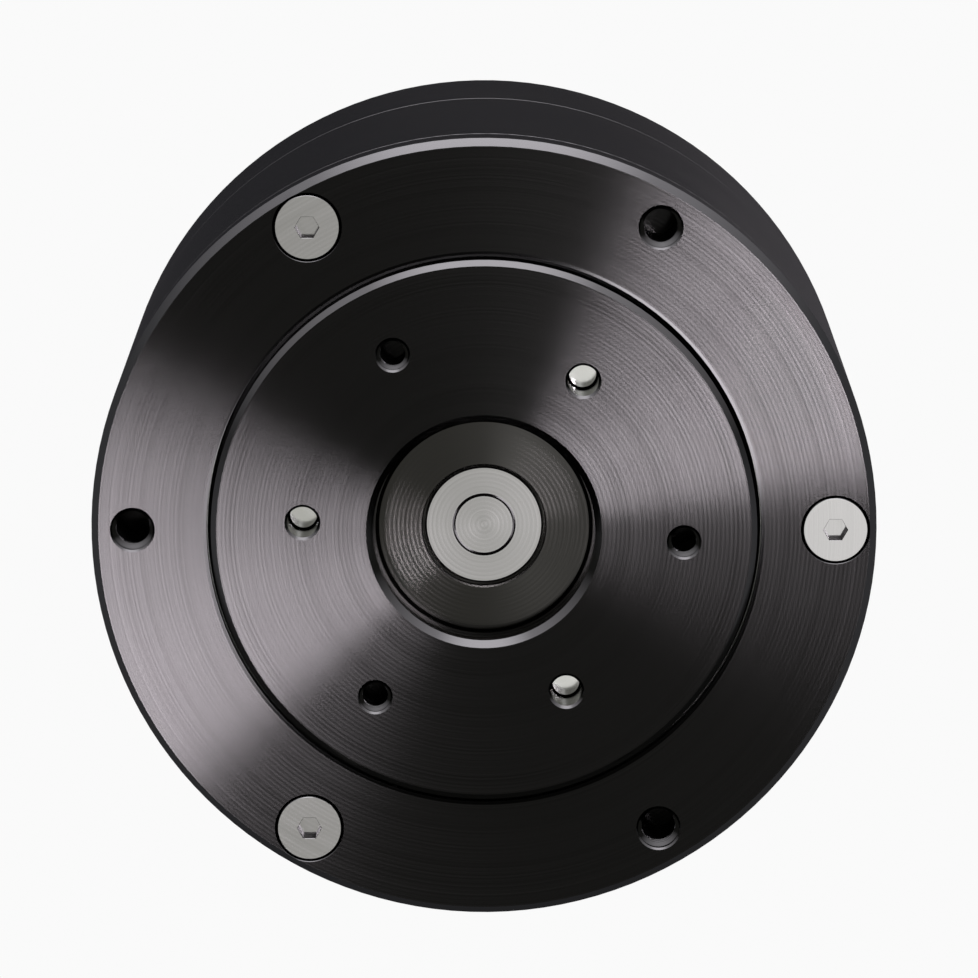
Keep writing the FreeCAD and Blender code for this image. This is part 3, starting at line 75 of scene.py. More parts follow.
# Countersunk screws: circle radius, count, first angle, head and shank radius, length, key width and depth
RING_SCREWS = (34.0 * MM, 3, 0.0, 3.15 * MM, 1.5 * MM, 8.4 * MM, 2.05 * MM, 1.5 * MM)
LONG_SCREWS = (35.3 * MM, 6, 30.0, 1.85 * MM, 1.0 * MM, 26.0 * MM, 1.3 * MM, 1.0 * MM)
COVER_SCREWS = (30.0 * MM, 3, 60.0, 1.85 * MM, 1.0 * MM, 6.0 * MM, 1.3 * MM, 1.0 * MM)
SCREW_STEPS = 96
TIP_TAPER = 0.2
HEAD_CHAMFER = 0.05 * MM
KEY_CHAMFER = 0.03 * MM
SMOOTH_ANGLE = 28.0

# Pins: circle radius, count, first angle, radius and length
PINS = (17.55 * MM, 3, 57.0, 1.5 * MM, 16.9 * MM)
PIN_CHAMFER = 0.2 * MM
PIN_STEPS = 64

# Distance between the marks that the feed of the lathe leaves on turned faces
FEED_PITCH = 0.42 * MM

# How far normals lean outward: on turned faces, and on the chamfer and the face of the ring's lip
FACE_LEAN = 0.052
LIP_EDGE_LEAN = 1.7
LIP_FACE_LEAN = 0.27

# Upward parts of the normal that part walls from chamfers, and chamfers from faces; the sideways part above
# which a wall runs round another axis than the part's
WALL_SLOPE = 0.1
FACE_SLOPE = 0.97
OTHER_AXIS = 0.08

# Camera: its place seen from the middle of the front face, and its tilt off the axis
CAMERA_TILT = math.radians(9.292)
CAMERA_PLACE = (0.483 * MM, 3.9565 * MM, 668.15 * MM)
CAMERA_LENS = 254.4
CAMERA_SENSOR = 36.0

# Light from the world, as levels along one part of the direction: the dome, the band behind the part and the
# panel's edge by height, the band also by depth, and the panel overhead from left to right
BAND_STRENGTH = 18.5
BAND_BY_HEIGHT = [(-0.11, BLACK), (-0.04, (1.0, 0.96, 1.0)), (0.6, (1.0, 0.97, 1.0)), (0.66, BLACK)]
BAND_BY_DEPTH = [(0.2, BLACK), (0.5, (0.15, 0.15, 0.15)), (0.7, (0.25, 0.25, 0.25)),
                 (0.87, (0.38, 0.38, 0.38)), (0.97, (0.95, 0.95, 0.95)), (1.0, WHITE)]
DOME_LEVELS = [(-0.45, (0.042, 0.042, 0.048)), (-0.32, (0.3, 0.3, 0.32)), (-0.2, (0.9, 0.9, 0.95)),
               (-0.1, (1.2, 1.2, 1.25)), (-0.02, (1.2, 1.2, 1.25)), (0.06, (0.26, 0.26, 0.23))]
PANEL_EDGE = [(0.95, BLACK), (0.972, WHITE)]
PANEL_LEVELS = [(-0.06, (0.1, 0.1, 0.12)), (0.0, (0.27, 0.265, 0.3)), (0.05, (0.86, 0.85, 0.9)),
                (0.08, (0.86, 0.85, 0.9)), (0.12, (0.05, 0.05, 0.05))]

# Lamps: azimuth, elevation, width, height and power, in degrees, metres and watts
SOFTBOX_RIGHT = (22.5, 60.0, 0.345, 0.2, 30.0)
SOFTBOX_LEFT = (205.5, 60.0, 0.3, 0.2, 13.5)
SOFTBOX_DISTANCE = 0.6
SOFTBOX_COLOUR = (1.0, 0.94, 1.0)

# Floor
FLOOR_REACH = 20.0
FLOOR_DROP = 0.2 * MM
FLOOR_TONE = 0.955


# Meshes

def skinned(name, rings, steps):
    """A closed mesh from rings, each of which gives a radius and a height for an angle."""
    turns = [2 * math.pi * i / steps for i in range(steps)]
    points = []
    for ring in rings:
        for angle in turns:
            radius, height = ring(angle)
            points.append((radius * math.cos(angle), radius * math.sin(angle), height))
    faces = []
    for low in range(0, len(points) - steps, steps):
        for i in range(steps):
            j = (i + 1) % steps
            faces.append((low + i, low + j, low + steps + j, low + steps + i))
    faces.append(tuple(reversed(range(steps))))
    faces.append(tuple(range(len(points) - steps, len(points))))
    mesh = bpy.data.meshes.new(name)
    mesh.from_pydata(points, [], faces)
    mesh.shade_smooth()
    mesh.set_sharp_from_angle(angle=math.radians(SMOOTH_ANGLE))
    return mesh


def circle(radius, height):
    return lambda angle: (radius, height)


def hexagon_reach(half_width, angle):
    """Distance from the centre of a hexagon to its side; the corners lie at left and right."""
    return half_width / math.cos(angle % (math.pi / 3) - math.pi / 6)


def countersunk_screw(name, head, shank, length, key_width, key_depth):
    """A screw that stands on its tip side, with the head's face at height 0."""
    half = key_width / 2
    under_head = -(head - shank)

    def key(extra, height):
        return lambda angle: (hexagon_reach(half, angle) + extra, height)

    rings = [
        circle(shank * (1 - TIP_TAPER), -length),
        circle(shank, -length + shank * TIP_TAPER),
        circle(shank, under_head),
        circle(head - HEAD_CHAMFER, -HEAD_CHAMFER),
        circle(head - HEAD_CHAMFER * 2, 0),
        key(KEY_CHAMFER, 0),
        key(0, -KEY_CHAMFER),
        key(0, -key_depth),
    ]
    return skinned(name, rings, SCREW_STEPS)


def pin(name, radius, length):
    """A round pin with a chamfered end at height 0."""
    rings = [
        circle(radius, -length),
        circle(radius, -PIN_CHAMFER),
        circle(radius - PIN_CHAMFER, 0),
    ]
    return skinned(name, rings, PIN_STEPS)


def thread_ridge(name, radius, height, pitch, start, length):
    """The ridge of a thread in a tapped hole, as a screw line that winds down from height 0."""
    count = int((length - start) / pitch * RIDGE_STEPS)
    points = []
    for i in range(count + 1):
        angle = 2 * math.pi * i / RIDGE_STEPS
        fade = min(1.0, i / RIDGE_STEPS * 2)
        middle = -start - pitch * (i / RIDGE_STEPS + 0.5)
        for out, along in RIDGE_SECTION:
            r = radius + out * height * fade
            points.append((r * math.cos(angle), r * math.sin(angle), middle + along * pitch))
    side = len(RIDGE_SECTION)
    faces = []
    for low in range(0, count * side, side):
        for i in range(side):
            j = (i + 1) % side
            faces.append((low + i, low + j, low + side + j, low + side + i))
    faces.append(tuple(range(side)))
    faces.append(tuple(reversed(range(count * side, count * side + side))))
    mesh = bpy.data.meshes.new(name)
    mesh.from_pydata(points, [], faces)
    mesh.shade_smooth()
    mesh.set_sharp_from_angle(angle=math.radians(SMOOTH_ANGLE))
    return mesh


# Rings of copies

def ring_tree():
    """Geometry nodes that set copies of a piece on a circle and make them real."""
    tree = bpy.data.node_groups.new("ring_of_copies", "GeometryNodeTree")
    sides = tree.interface
    sides.new_socket("Geometry", in_out="INPUT", socket_type="NodeSocketGeometry")
    sides.new_socket("Piece", in_out="INPUT", socket_type="NodeSocketObject")
    sides.new_socket("Count", in_out="INPUT", socket_type="NodeSocketInt")
    sides.new_socket("Circle Radius", in_out="INPUT", socket_type="NodeSocketFloat")
    sides.new_socket("First Angle", in_out="INPUT", socket_type="NodeSocketFloat")
    sides.new_socket("Height", in_out="INPUT", socket_type="NodeSocketFloat")
    sides.new_socket("Material", in_out="INPUT", socket_type="NodeSocketMaterial")
    sides.new_socket("Geometry", in_out="OUTPUT", socket_type="NodeSocketGeometry")
    add = tree.nodes.new
    link = tree.links.new
    given = add("NodeGroupInput")
    result = add("NodeGroupOutput")
    ring = add("GeometryNodeMeshCircle")
    turn = add("ShaderNodeCombineXYZ")
    lift = add("ShaderNodeCombineXYZ")
    place = add("GeometryNodeTransform")
    piece = add("GeometryNodeObjectInfo")
    copies = add("GeometryNodeInstanceOnPoints")
    real = add("GeometryNodeRealizeInstances")
    paint = add("GeometryNodeSetMaterial")
    link(given.outputs["Count"], ring.inputs["Vertices"])
    link(given.outputs["Circle Radius"], ring.inputs["Radius"])
    link(given.outputs["First Angle"], turn.inputs["Z"])
    link(given.outputs["Height"], lift.inputs["Z"])
    link(ring.outputs["Mesh"], place.inputs["Geometry"])
    link(turn.outputs["Vector"], place.inputs["Rotation"])
    link(lift.outputs["Vector"], place.inputs["Translation"])
    link(given.outputs["Piece"], piece.inputs["Object"])
    link(place.outputs["Geometry"], copies.inputs["Points"])
    link(piece.outputs["Geometry"], copies.inputs["Instance"])
    link(copies.outputs["Instances"], real.inputs["Geometry"])
    link(real.outputs["Geometry"], paint.inputs["Geometry"])
    link(given.outputs["Material"], paint.inputs["Material"])
    link(paint.outputs["Geometry"], result.inputs["Geometry"])
    return tree


def ring_of(tree, name, mesh, count, radius, first_angle, height, material):
    """One object made of count copies of mesh, at the origin and unscaled."""
    piece = bpy.data.objects.new(name + "_one", mesh)
    obj = bpy.data.objects.new(name, bpy.data.meshes.new(name))
    bpy.context.scene.collection.objects.link(obj)
    modifier = obj.modifiers.new("ring", "NODES")
    modifier.node_group = tree
    values = {"Piece": piece, "Count": count, "Circle Radius": radius,
              "First Angle": math.radians(first_angle), "Height": height, "Material": material}
    for socket in tree.interface.items_tree:
        if socket.in_out == "INPUT" and socket.name in values:
            modifier[socket.identifier] = values[socket.name]
    seen = obj.evaluated_get(bpy.context.evaluated_depsgraph_get())
    made = bpy.data.meshes.new_from_object(seen)
    obj.modifiers.clear()
    obj.data = made
    bpy.data.objects.remove(piece)
    return obj


# Materials

class Shading:
    """A material's node tree, with short ways to add nodes and links."""

    def __init__(self, name):
        self.material = bpy.data.materials.new(name)
        self.material.use_nodes = True
        self.tree = self.material.node_tree
        self.shader = self.tree.nodes["Principled BSDF"]

    def add(self, kind, **settings):
        node = self.tree.nodes.new(kind)
        for key, value in settings.items():
            setattr(node, key, value)
        return node

    def link(self, source, target):
        self.tree.links.new(source, target)

    def set(self, **values):
        for key, value in values.items():
            self.shader.inputs[key.replace("_", " ")].default_value = value

    def math(self, operation, first, second=None):
        node = self.add("ShaderNodeMath", operation=operation)
        for socket, value in zip(node.inputs, (first, second)):
            if value is None:
                continue
            if isinstance(value, (int, float)):
                socket.default_value = value
            else:
                self.link(value, socket)
        return node.outputs[0]

    def place(self):
        """The point of the surface, in the object's coordinates."""
        return self.add("ShaderNodeTexCoord").outputs["Object"]

    def parts(self, vector):
        """The three parts of a vector."""
        node = self.add("ShaderNodeSeparateXYZ")
        self.link(vector, node.inputs[0])
        return node.outputs

    def radius(self, parts):
        return self.math("SQRT", self.math("ADD", self.math("MULTIPLY", parts[0], parts[0]),
                                           self.math("MULTIPLY", parts[1], parts[1])))

    def noise(self, scale, detail, vector=None, value=None):
        dimensions = "1D" if value is not None else "3D"
        node = self.add("ShaderNodeTexNoise", noise_dimensions=dimensions)
        node.inputs["Scale"].default_value = scale
        node.inputs["Detail"].default_value = detail
        if value is not None:
            self.link(value, node.inputs["W"])
        else:
            self.link(vector, node.inputs["Vector"])
        return node.outputs["Fac"]

    def span(self, value, low, high, source_low=0.25, source_high=0.75):
        node = self.add("ShaderNodeMapRange")
        self.link(value, node.inputs["Value"])
        for key, number in (("From Min", source_low), ("From Max", source_high),
                            ("To Min", low), ("To Max", high)):
            node.inputs[key].default_value = number
        return node.outputs["Result"]

    def mix(self, factor, first, second):
        """Colour between first and second."""
        node = self.add("ShaderNodeMix", data_type="RGBA")
        self.link(factor, node.inputs[0])
        for socket, colour in ((node.inputs[6], first), (node.inputs[7], second)):
            if isinstance(colour, tuple):
                socket.default_value = (*colour, 1.0)
            else:
                self.link(colour, socket)
        return node.outputs[2]

    def blend(self, factor, first, second):
        """A number between first and second."""
        node = self.add("ShaderNodeMix", data_type="FLOAT")
        self.link(factor, node.inputs[0])
        for socket, value in ((node.inputs[2], first), (node.inputs[3], second)):
            if isinstance(value, float):
                socket.default_value = value
            else:
                self.link(value, socket)
        return node.outputs[0]

    def between(self, value, low, high):
        """1 where value lies between low and high, otherwise 0."""
        above = self.math("GREATER_THAN", value, low)
        return self.math("MULTIPLY", above, self.math("LESS_THAN", value, high))

    def small_edges(self):
        """1 on chamfers and rounds, 0 on flat faces and on upright walls."""
        normal = self.add("ShaderNodeTexCoord").outputs["Normal"]
        return self.between(self.math("ABSOLUTE", self.parts(normal)["Z"]), WALL_SLOPE, FACE_SLOPE)

    def round_axis(self):
        """Direction in the surface that runs round the part's axis, at length 1."""
        where = self.add("ShaderNodeNewGeometry")
        cross = self.add("ShaderNodeVectorMath", operation="CROSS_PRODUCT")
        cross.inputs[0].default_value = (0.0, 0.0, 1.0)
        self.link(where.outputs["Position"], cross.inputs[1])
        unit = self.add("ShaderNodeVectorMath", operation="NORMALIZE")
        self.link(cross.outputs[0], unit.inputs[0])
        return unit.outputs[0]

    def shaded_walls(self):
        """1 on upright walls that look towards the part's own axis or run round another one, for painted
        shade.
        """
        where = self.add("ShaderNodeNewGeometry")
        height = self.parts(where.outputs["True Normal"])["Z"]
        upright = self.math("LESS_THAN", self.math("ABSOLUTE", height), WALL_SLOPE)
        sideways = self.add("ShaderNodeVectorMath", operation="DOT_PRODUCT")
        self.link(where.outputs["True Normal"], sideways.inputs[0])
        self.link(self.round_axis(), sideways.inputs[1])
        other = self.math("GREATER_THAN", self.math("ABSOLUTE", sideways.outputs["Value"]), OTHER_AXIS)
        outward = self.add("ShaderNodeVectorMath", operation="DOT_PRODUCT")
        self.link(where.outputs["True Normal"], outward.inputs[0])
        self.link(where.outputs["Position"], outward.inputs[1])
        inward = self.math("LESS_THAN", outward.outputs["Value"], 0.0)
        return self.math("MULTIPLY", upright, self.math("MAXIMUM", other, inward))

    def flat(self):
        """1 on faces that look straight up, otherwise 0."""
        normal = self.add("ShaderNodeNewGeometry").outputs["Normal"]
        return self.math("GREATER_THAN", self.parts(normal)["Z"], FACE_SLOPE)

    def leant(self, amount):
        """The surface's normal, leant away from the part's axis by amount."""
        where = self.add("ShaderNodeNewGeometry")
        outward = self.add("ShaderNodeVectorMath", operation="CROSS_PRODUCT")
        self.link(self.round_axis(), outward.inputs[0])
        self.link(where.outputs["Normal"], outward.inputs[1])
        part = self.add("ShaderNodeVectorMath", operation="SCALE")
        self.link(outward.outputs[0], part.inputs[0])
        self.link(amount, part.inputs["Scale"])
        total = self.add("ShaderNodeVectorMath")
        self.link(where.outputs["Normal"], total.inputs[0])
        self.link(part.outputs[0], total.inputs[1])
        unit = self.add("ShaderNodeVectorMath", operation="NORMALIZE")
        self.link(total.outputs[0], unit.inputs[0])
        return unit.outputs[0]

    def bump(self, height, distance, normal=None):
        node = self.add("ShaderNodeBump")
        if normal is not None:
            self.link(normal, node.inputs["Normal"])
        node.inputs["Distance"].default_value = distance
        self.link(height, node.inputs["Height"])
        self.link(node.outputs["Normal"], self.shader.inputs["Normal"])

    def across_turning(self):
        """Direction in the surface that crosses the marks of turning about Z."""
        where = self.add("ShaderNodeNewGeometry")
        across = self.add("ShaderNodeVectorMath", operation="CROSS_PRODUCT")
        self.link(self.round_axis(), across.inputs[0])
        self.link(where.outputs["Normal"], across.inputs[1])
        unit = self.add("ShaderNodeVectorMath", operation="NORMALIZE")
        self.link(across.outputs[0], unit.inputs[0])
        self.link(unit.outputs[0], self.shader.inputs["Tangent"])


def turned_metal(name, dark, light, roughness, anisotropic, groove, depth, edge, wall_shade, lean=None,
                 regions=()):
    """Metal with the fine rings of turning, on faces and round the sides.

    Edge is the colour and roughness of small chamfers; a dark edge colour is a painted dark reflection.
    The wall shade is the colour, roughness and edge tint of the upright walls that look inwards or run round
    another axis: a darker colour and a dimmed tint there are painted shade. Lean gives how far the normal
    leans outward.
    Each region has a look of its own: its mask, colour, roughness, anisotropy and edge tint.
    """
    m = Shading(name)
    vector = m.place()
    parts = m.parts(vector)
    radius = m.radius(parts)
    along = m.math("ADD", radius, parts[2])
    fine = m.noise(1 / groove, 3.0, value=along)
    broad = m.noise(0.12 / groove, 2.0, value=along)
    marks = m.math("SINE", m.math("MULTIPLY", along, 2 * math.pi / FEED_PITCH))
    cloud = m.noise(90.0, 3.0, vector=vector)
    tone = m.math("ADD", m.math("MULTIPLY", fine, 0.8), m.math("MULTIPLY", broad, 0.2))
    colour = m.mix(m.span(tone, 0.0, 1.0, 0.35, 0.65), dark, light)
    small = m.small_edges()
    upright = m.shaded_walls()
    edge_colour, edge_roughness = edge
    wall_shade_colour, wall_roughness, wall_shade_tint = wall_shade
    # Painted shade: walls that look inwards take the darker wall colour and a dimmed reflection tint
    colour = m.mix(upright, m.mix(small, colour, edge_colour), wall_shade_colour)
    rough = m.blend(upright, m.blend(small, roughness, edge_roughness), wall_roughness)
    anisotropic = m.blend(m.math("MAXIMUM", small, upright), anisotropic, 0.0)
    tint = m.mix(upright, WHITE, wall_shade_tint)
    for mask, own_colour, own_roughness, own_anisotropic, own_tint in regions:
        inside = mask(m, radius, parts[2])
        colour = m.mix(inside, colour, own_colour)
        rough = m.blend(inside, rough, own_roughness)
        anisotropic = m.blend(inside, anisotropic, own_anisotropic)
        tint = m.mix(inside, tint, own_tint)
    unevenness = m.math("ADD", m.span(cloud, -0.01, 0.01), m.span(broad, -0.006, 0.006))
    unevenness = m.math("ADD", unevenness, m.math("MULTIPLY", marks, 0.1 * roughness))
    m.link(colour, m.shader.inputs["Base Color"])
    m.link(m.math("ADD", rough, unevenness), m.shader.inputs["Roughness"])
    m.link(anisotropic, m.shader.inputs["Anisotropic"])
    if regions or wall_shade_tint != WHITE:
        m.link(tint, m.shader.inputs["Specular Tint"])
    m.set(Metallic=1.0)
    m.across_turning()
    m.bump(fine, depth, m.leant(lean(m, radius, parts[2])) if lean else None)
    return m.material


def black_anodised():
    """The cap in the middle is turned smoothly, the ring's bore has a rolled lip, and the gap is painted black
    with no reflection, as painted shade.
    """
    def cap(m, radius, height):
        near = m.span(radius, 1.0, 0.0, CENTRE_BORE_RADIUS - 3 * MARGIN, CENTRE_BORE_RADIUS - MARGIN)
        return m.math("MULTIPLY", near, m.math("GREATER_THAN", height, CAP_REAR_Z))

    def lip(m, radius, height):
        ring = m.between(radius, RING_BORE_RADIUS - MARGIN, RING_BORE_RADIUS + LIP_ROUND)
        return m.math("MULTIPLY", ring, m.between(height, FACE_Z - LIP_DEPTH, FACE_Z + MARGIN))

    # The gap between the ring's bore and the flange, where black is painted as shade
    def gap_shade(m, radius, height):
        wall = m.between(radius, RING_BORE_RADIUS - GAP_REACH, RING_BORE_RADIUS + MARGIN)
        return m.math("MULTIPLY", wall, m.between(height, GAP_FLOOR_Z, GAP_TOP_Z))

    def lean(m, radius, height):
        """Flanks of turning marks lean outward, and the rolled lip of the ring's bore leans further."""
        flat = m.flat()
        round_lip = m.blend(flat, LIP_EDGE_LEAN, LIP_FACE_LEAN)
        return m.blend(lip(m, radius, height), m.math("MULTIPLY", flat, FACE_LEAN), round_lip)

    # Painted shade: walls of holes and bores are painted darker with a dimmed tint, and the gap black with no
    # reflection
    return turned_metal("black_anodised", (0.0146, 0.0142, 0.0142), (0.0196, 0.0191, 0.0192), 0.2, 0.98,
                        0.16 * MM, 0.0012 * MM, ((0.0205, 0.0205, 0.021), 0.1),
                        ((0.004, 0.004, 0.004), 0.15, (0.8, 0.8, 0.8)), lean,
                        [(cap, (0.06, 0.058, 0.056), 0.1, 0.93, WHITE),
                         (gap_shade, (0.001, 0.001, 0.001), 0.2, 0.0, BLACK),
                         (lip, (0.0042, 0.0042, 0.0042), 0.18, 0.0, WHITE)])


def satin_steel():
    """The pin ends in the flange are ground and lighter than the heads."""
    def pin_ends(m, radius, height):
        low = m.span(height, 1.0, 0.0, PIN_END_Z + 0.1 * MM, PIN_END_Z + 0.4 * MM)
        return m.math("MULTIPLY", low, m.math("SUBTRACT", 1.0, m.small_edges()))

    # Painted shade: chamfers are painted near black as a painted dark reflection, and walls of holes and key
    # sockets dark grey with a dimmed reflection tint
    return turned_metal("satin_steel", (0.535, 0.527, 0.532), (0.57, 0.562, 0.566), 0.1, 0.3,
                        0.12 * MM, 0.0004 * MM, ((0.045, 0.045, 0.045), 0.12),
                        ((0.15, 0.15, 0.15), 0.3, (0.2, 0.2, 0.2)), None,
                        [(pin_ends, (0.85, 0.85, 0.84), 0.1, 0.0, WHITE)])


def plain_aluminium():
    """Bare turned metal, for parts inside."""
    # Painted shade: walls of holes and bores are painted a little darker than the faces
    return turned_metal("plain_aluminium", (0.62, 0.62, 0.64), (0.76, 0.76, 0.77), 0.34, 0.7,
                        0.2 * MM, 0.002 * MM, ((0.7, 0.7, 0.71), 0.25),
                        ((0.6, 0.6, 0.61), 0.3, WHITE))


def mottled(name, dark, light, scale, roughness, metallic, depth, gloss=0.5):
    """A surface with a fine grain of tone, gloss and height."""
    m = Shading(name)
    vector = m.place()
    grain = m.noise(scale, 4.0, vector=vector)
    cloud = m.noise(scale * 0.08, 2.0, vector=vector)
    tone = m.math("ADD", m.math("MULTIPLY", grain, 0.6), m.math("MULTIPLY", cloud, 0.4))
    m.link(m.mix(m.span(tone, 0.0, 1.0, 0.35, 0.65), dark, light), m.shader.inputs["Base Color"])
    m.link(m.span(grain, roughness - 0.05, roughness + 0.05), m.shader.inputs["Roughness"])
    m.set(Metallic=metallic, Specular_IOR_Level=gloss)
    m.bump(grain, depth)
    return m.material


def striped(name, dark, light, pitch, direction, roughness, metallic, depth, coat=0.0):
    """A surface with fine stripes, such as sheets in a stack or turns of wire.

    Direction 2 stripes the height, and direction 3 the distance from the axis.
    """
    m = Shading(name)
    vector = m.place()
    parts = m.parts(vector)
    along = m.radius(parts) if direction == 3 else parts[direction]
    wave = m.math("SINE", m.math("MULTIPLY", along, 2 * math.pi / pitch))
    grain = m.noise(2500.0, 3.0, vector=vector)
    tone = m.math("ADD", m.span(wave, 0.0, 0.8, -1.0, 1.0), m.math("MULTIPLY", grain, 0.2))
    m.link(m.mix(tone, dark, light), m.shader.inputs["Base Color"])
    m.link(m.span(grain, roughness - 0.06, roughness + 0.06), m.shader.inputs["Roughness"])
    m.set(Metallic=metallic, Coat_Weight=coat)
    m.bump(tone, depth)
    return m.material


def circuit_board():
    """Green solder mask over copper tracks."""
    m = Shading("circuit_board")
    vector = m.place()
    tracks = m.add("ShaderNodeTexBrick")
    m.link(vector, tracks.inputs["Vector"])
    tracks.inputs["Scale"].default_value = 420.0
    tracks.inputs["Mortar Size"].default_value = 0.06
    grain = m.noise(1200.0, 3.0, vector=vector)
    mask = m.mix(m.span(grain, 0.0, 1.0), (0.004, 0.075, 0.04), (0.008, 0.11, 0.06))
    m.link(m.mix(tracks.outputs["Fac"], mask, (0.02, 0.19, 0.1)), m.shader.inputs["Base Color"])
    m.link(m.span(grain, 0.26, 0.38), m.shader.inputs["Roughness"])
    m.set(Coat_Weight=0.3)
    m.bump(tracks.outputs["Fac"], 0.02 * MM)
    return m.material


def all_materials():
    made = [
        black_anodised(),
        satin_steel(),
        plain_aluminium(),
        circuit_board(),
        mottled("black_screws", (0.03, 0.03, 0.032), (0.06, 0.058, 0.056), 6000.0, 0.42, 0.9, 0.003 * MM),
        mottled("gear_steel", (0.34, 0.34, 0.35), (0.48, 0.48, 0.49), 3000.0, 0.3, 1.0, 0.002 * MM),
        mottled("bronze", (0.52, 0.31, 0.16), (0.68, 0.45, 0.25), 4000.0, 0.34, 1.0, 0.003 * MM),
        mottled("magnet", (0.6, 0.59, 0.56), (0.76, 0.75, 0.72), 1500.0, 0.2, 1.0, 0.002 * MM),
        mottled("bearing_steel", (0.55, 0.55, 0.56), (0.68, 0.68, 0.69), 2500.0, 0.14, 1.0, 0.001 * MM),
        mottled("contact_gold", (0.72, 0.5, 0.18), (0.88, 0.66, 0.28), 4000.0, 0.24, 1.0, 0.002 * MM),
        mottled("chip_black", (0.013, 0.013, 0.014), (0.03, 0.03, 0.031), 9000.0, 0.55, 0.0, 0.006 * MM),
        mottled("capacitor", (0.34, 0.21, 0.05), (0.5, 0.34, 0.1), 5000.0, 0.42, 0.0, 0.004 * MM),
        mottled("socket_plastic", (0.018, 0.018, 0.02), (0.036, 0.036, 0.039), 5000.0, 0.46, 0.0, 0.008 * MM),
        # Painted shade: the seal in the gap is painted darker than black rubber and nearly without gloss
        mottled("seal_rubber", (0.002, 0.002, 0.002), (0.005, 0.005, 0.005), 4000.0, 0.62, 0.0, 0.008 * MM,
                0.05),
        mottled("cage_plastic", (0.09, 0.07, 0.045), (0.15, 0.125, 0.09), 3500.0, 0.48, 0.0, 0.006 * MM),
        striped("core_steel", (0.13, 0.14, 0.16), (0.36, 0.37, 0.4), 0.35 * MM, 2, 0.4, 1.0, 0.02 * MM),
        striped("copper", (0.34, 0.1, 0.03), (0.82, 0.36, 0.15), 0.5 * MM, 3, 0.26, 1.0, 0.08 * MM, 0.4),
    ]
    return {material.name: material for material in made}


def clear_flat_materials():
    """Takes off the plain colours that came with the part."""
    for node in frame["nodes"].values():
        node.data.materials.clear()
    for material in list(bpy.data.materials):
        bpy.data.materials.remove(material)


def paint_nodes(materials):
    """Each node of the part takes the material of its own slot."""
    for piece in frame["record"]["subparts"]:
        frame["nodes"][piece["node"]].data.materials.append(materials[piece["material_slot"]])


# Pieces that stand for nodes, and threads

def add_screws(tree, name, sizes, height, material, downwards):
    radius, count, first, head, shank, length, key_width, key_depth = sizes
    mesh = countersunk_screw(name, head, shank, length, key_width, key_depth)
    if downwards:
        mesh.transform(Matrix.Rotation(math.pi, 4, "X"))
    obj = ring_of(tree, name + "_detail", mesh, count, radius, first, height, material)
    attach(obj, "root")
    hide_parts(name)


def add_pins(tree, material):
    circle_radius, count, first, radius, length = PINS
    obj = ring_of(tree, "planet_pins_detail", pin("planet_pins", radius, length), count, circle_radius, first,
                  PIN_END_Z, material)
    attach(obj, "output")
    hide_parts("planet_pins")


def add_threads(tree, name, sizes, height, body, material):
    radius, first, outside, ridge, pitch, mouth, length = sizes
    mesh = thread_ridge(name, outside, ridge, pitch, mouth, length)
    obj = ring_of(tree, name, mesh, HOLE_COUNT, radius, first, height, material)
    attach(obj, body)


def add_details(materials):
    tree = ring_tree()
    black, steel = materials["black_anodised"], materials["satin_steel"]
    oxide = materials["black_screws"]
    add_screws(tree, "front_ring_screws", RING_SCREWS, FACE_Z, steel, False)
    add_screws(tree, "long_screws", LONG_SCREWS, 0.0, oxide, True)
    add_screws(tree, "back_cover_screws", COVER_SCREWS, 0.0, oxide, True)
    add_pins(tree, steel)
    add_threads(tree, "mount_threads", MOUNT_THREAD, FACE_Z, "root", black)
    add_threads(tree, "output_threads", OUTPUT_THREAD, FLANGE_Z, "output", black)


# Light, floor and camera

def ramp(tree, value, levels):
    """A curve through (value, level) points, for values from -1 to 1."""
    shift = tree.nodes.new("ShaderNodeMapRange")
    shift.inputs["From Min"].default_value = -1.0
    shift.inputs["From Max"].default_value = 1.0
    curve = tree.nodes.new("ShaderNodeValToRGB")
    tree.links.new(value, shift.inputs["Value"])
    tree.links.new(shift.outputs["Result"], curve.inputs["Fac"])
    stops = curve.color_ramp.elements
    while len(stops) < len(levels):
        stops.new(1.0)
    for stop, (position, level) in zip(stops, levels):
        stop.position = position / 2 + 0.5
        stop.color = (*level, 1.0)
    return curve.outputs["Color"]


def scaled(tree, colour, by):
    node = tree.nodes.new("ShaderNodeVectorMath")
    node.operation = "SCALE"
    tree.links.new(colour, node.inputs[0])
    if isinstance(by, float):
        node.inputs["Scale"].default_value = by
    else:
        tree.links.new(by, node.inputs["Scale"])
    return node.outputs[0]


def summed(tree, first, second):
    node = tree.nodes.new("ShaderNodeVectorMath")
    tree.links.new(first, node.inputs[0])
    tree.links.new(second, node.inputs[1])
    return node.outputs[0]


def world_light():
    """A dim dome, a soft panel overhead that is brighter to the right, and a band of light behind."""
    world = bpy.data.worlds.new("studio")
    bpy.context.scene.world = world
    world.use_nodes = True
    tree = world.node_tree
    direction = tree.nodes.new("ShaderNodeTexCoord")
    parts = tree.nodes.new("ShaderNodeSeparateXYZ")
    tree.links.new(direction.outputs["Generated"], parts.inputs[0])
    x, y, z = parts.outputs
    dome = ramp(tree, z, DOME_LEVELS)
    panel = ramp(tree, z, PANEL_EDGE)
    panel_level = ramp(tree, x, PANEL_LEVELS)
    band = ramp(tree, z, BAND_BY_HEIGHT)
    behind = ramp(tree, y, BAND_BY_DEPTH)
    light = summed(tree, dome, scaled(tree, panel, panel_level))
    light = summed(tree, light, scaled(tree, scaled(tree, band, behind), BAND_STRENGTH))
    background = tree.nodes["Background"]
    background.inputs["Strength"].default_value = 1.0
    tree.links.new(light, background.inputs["Color"])


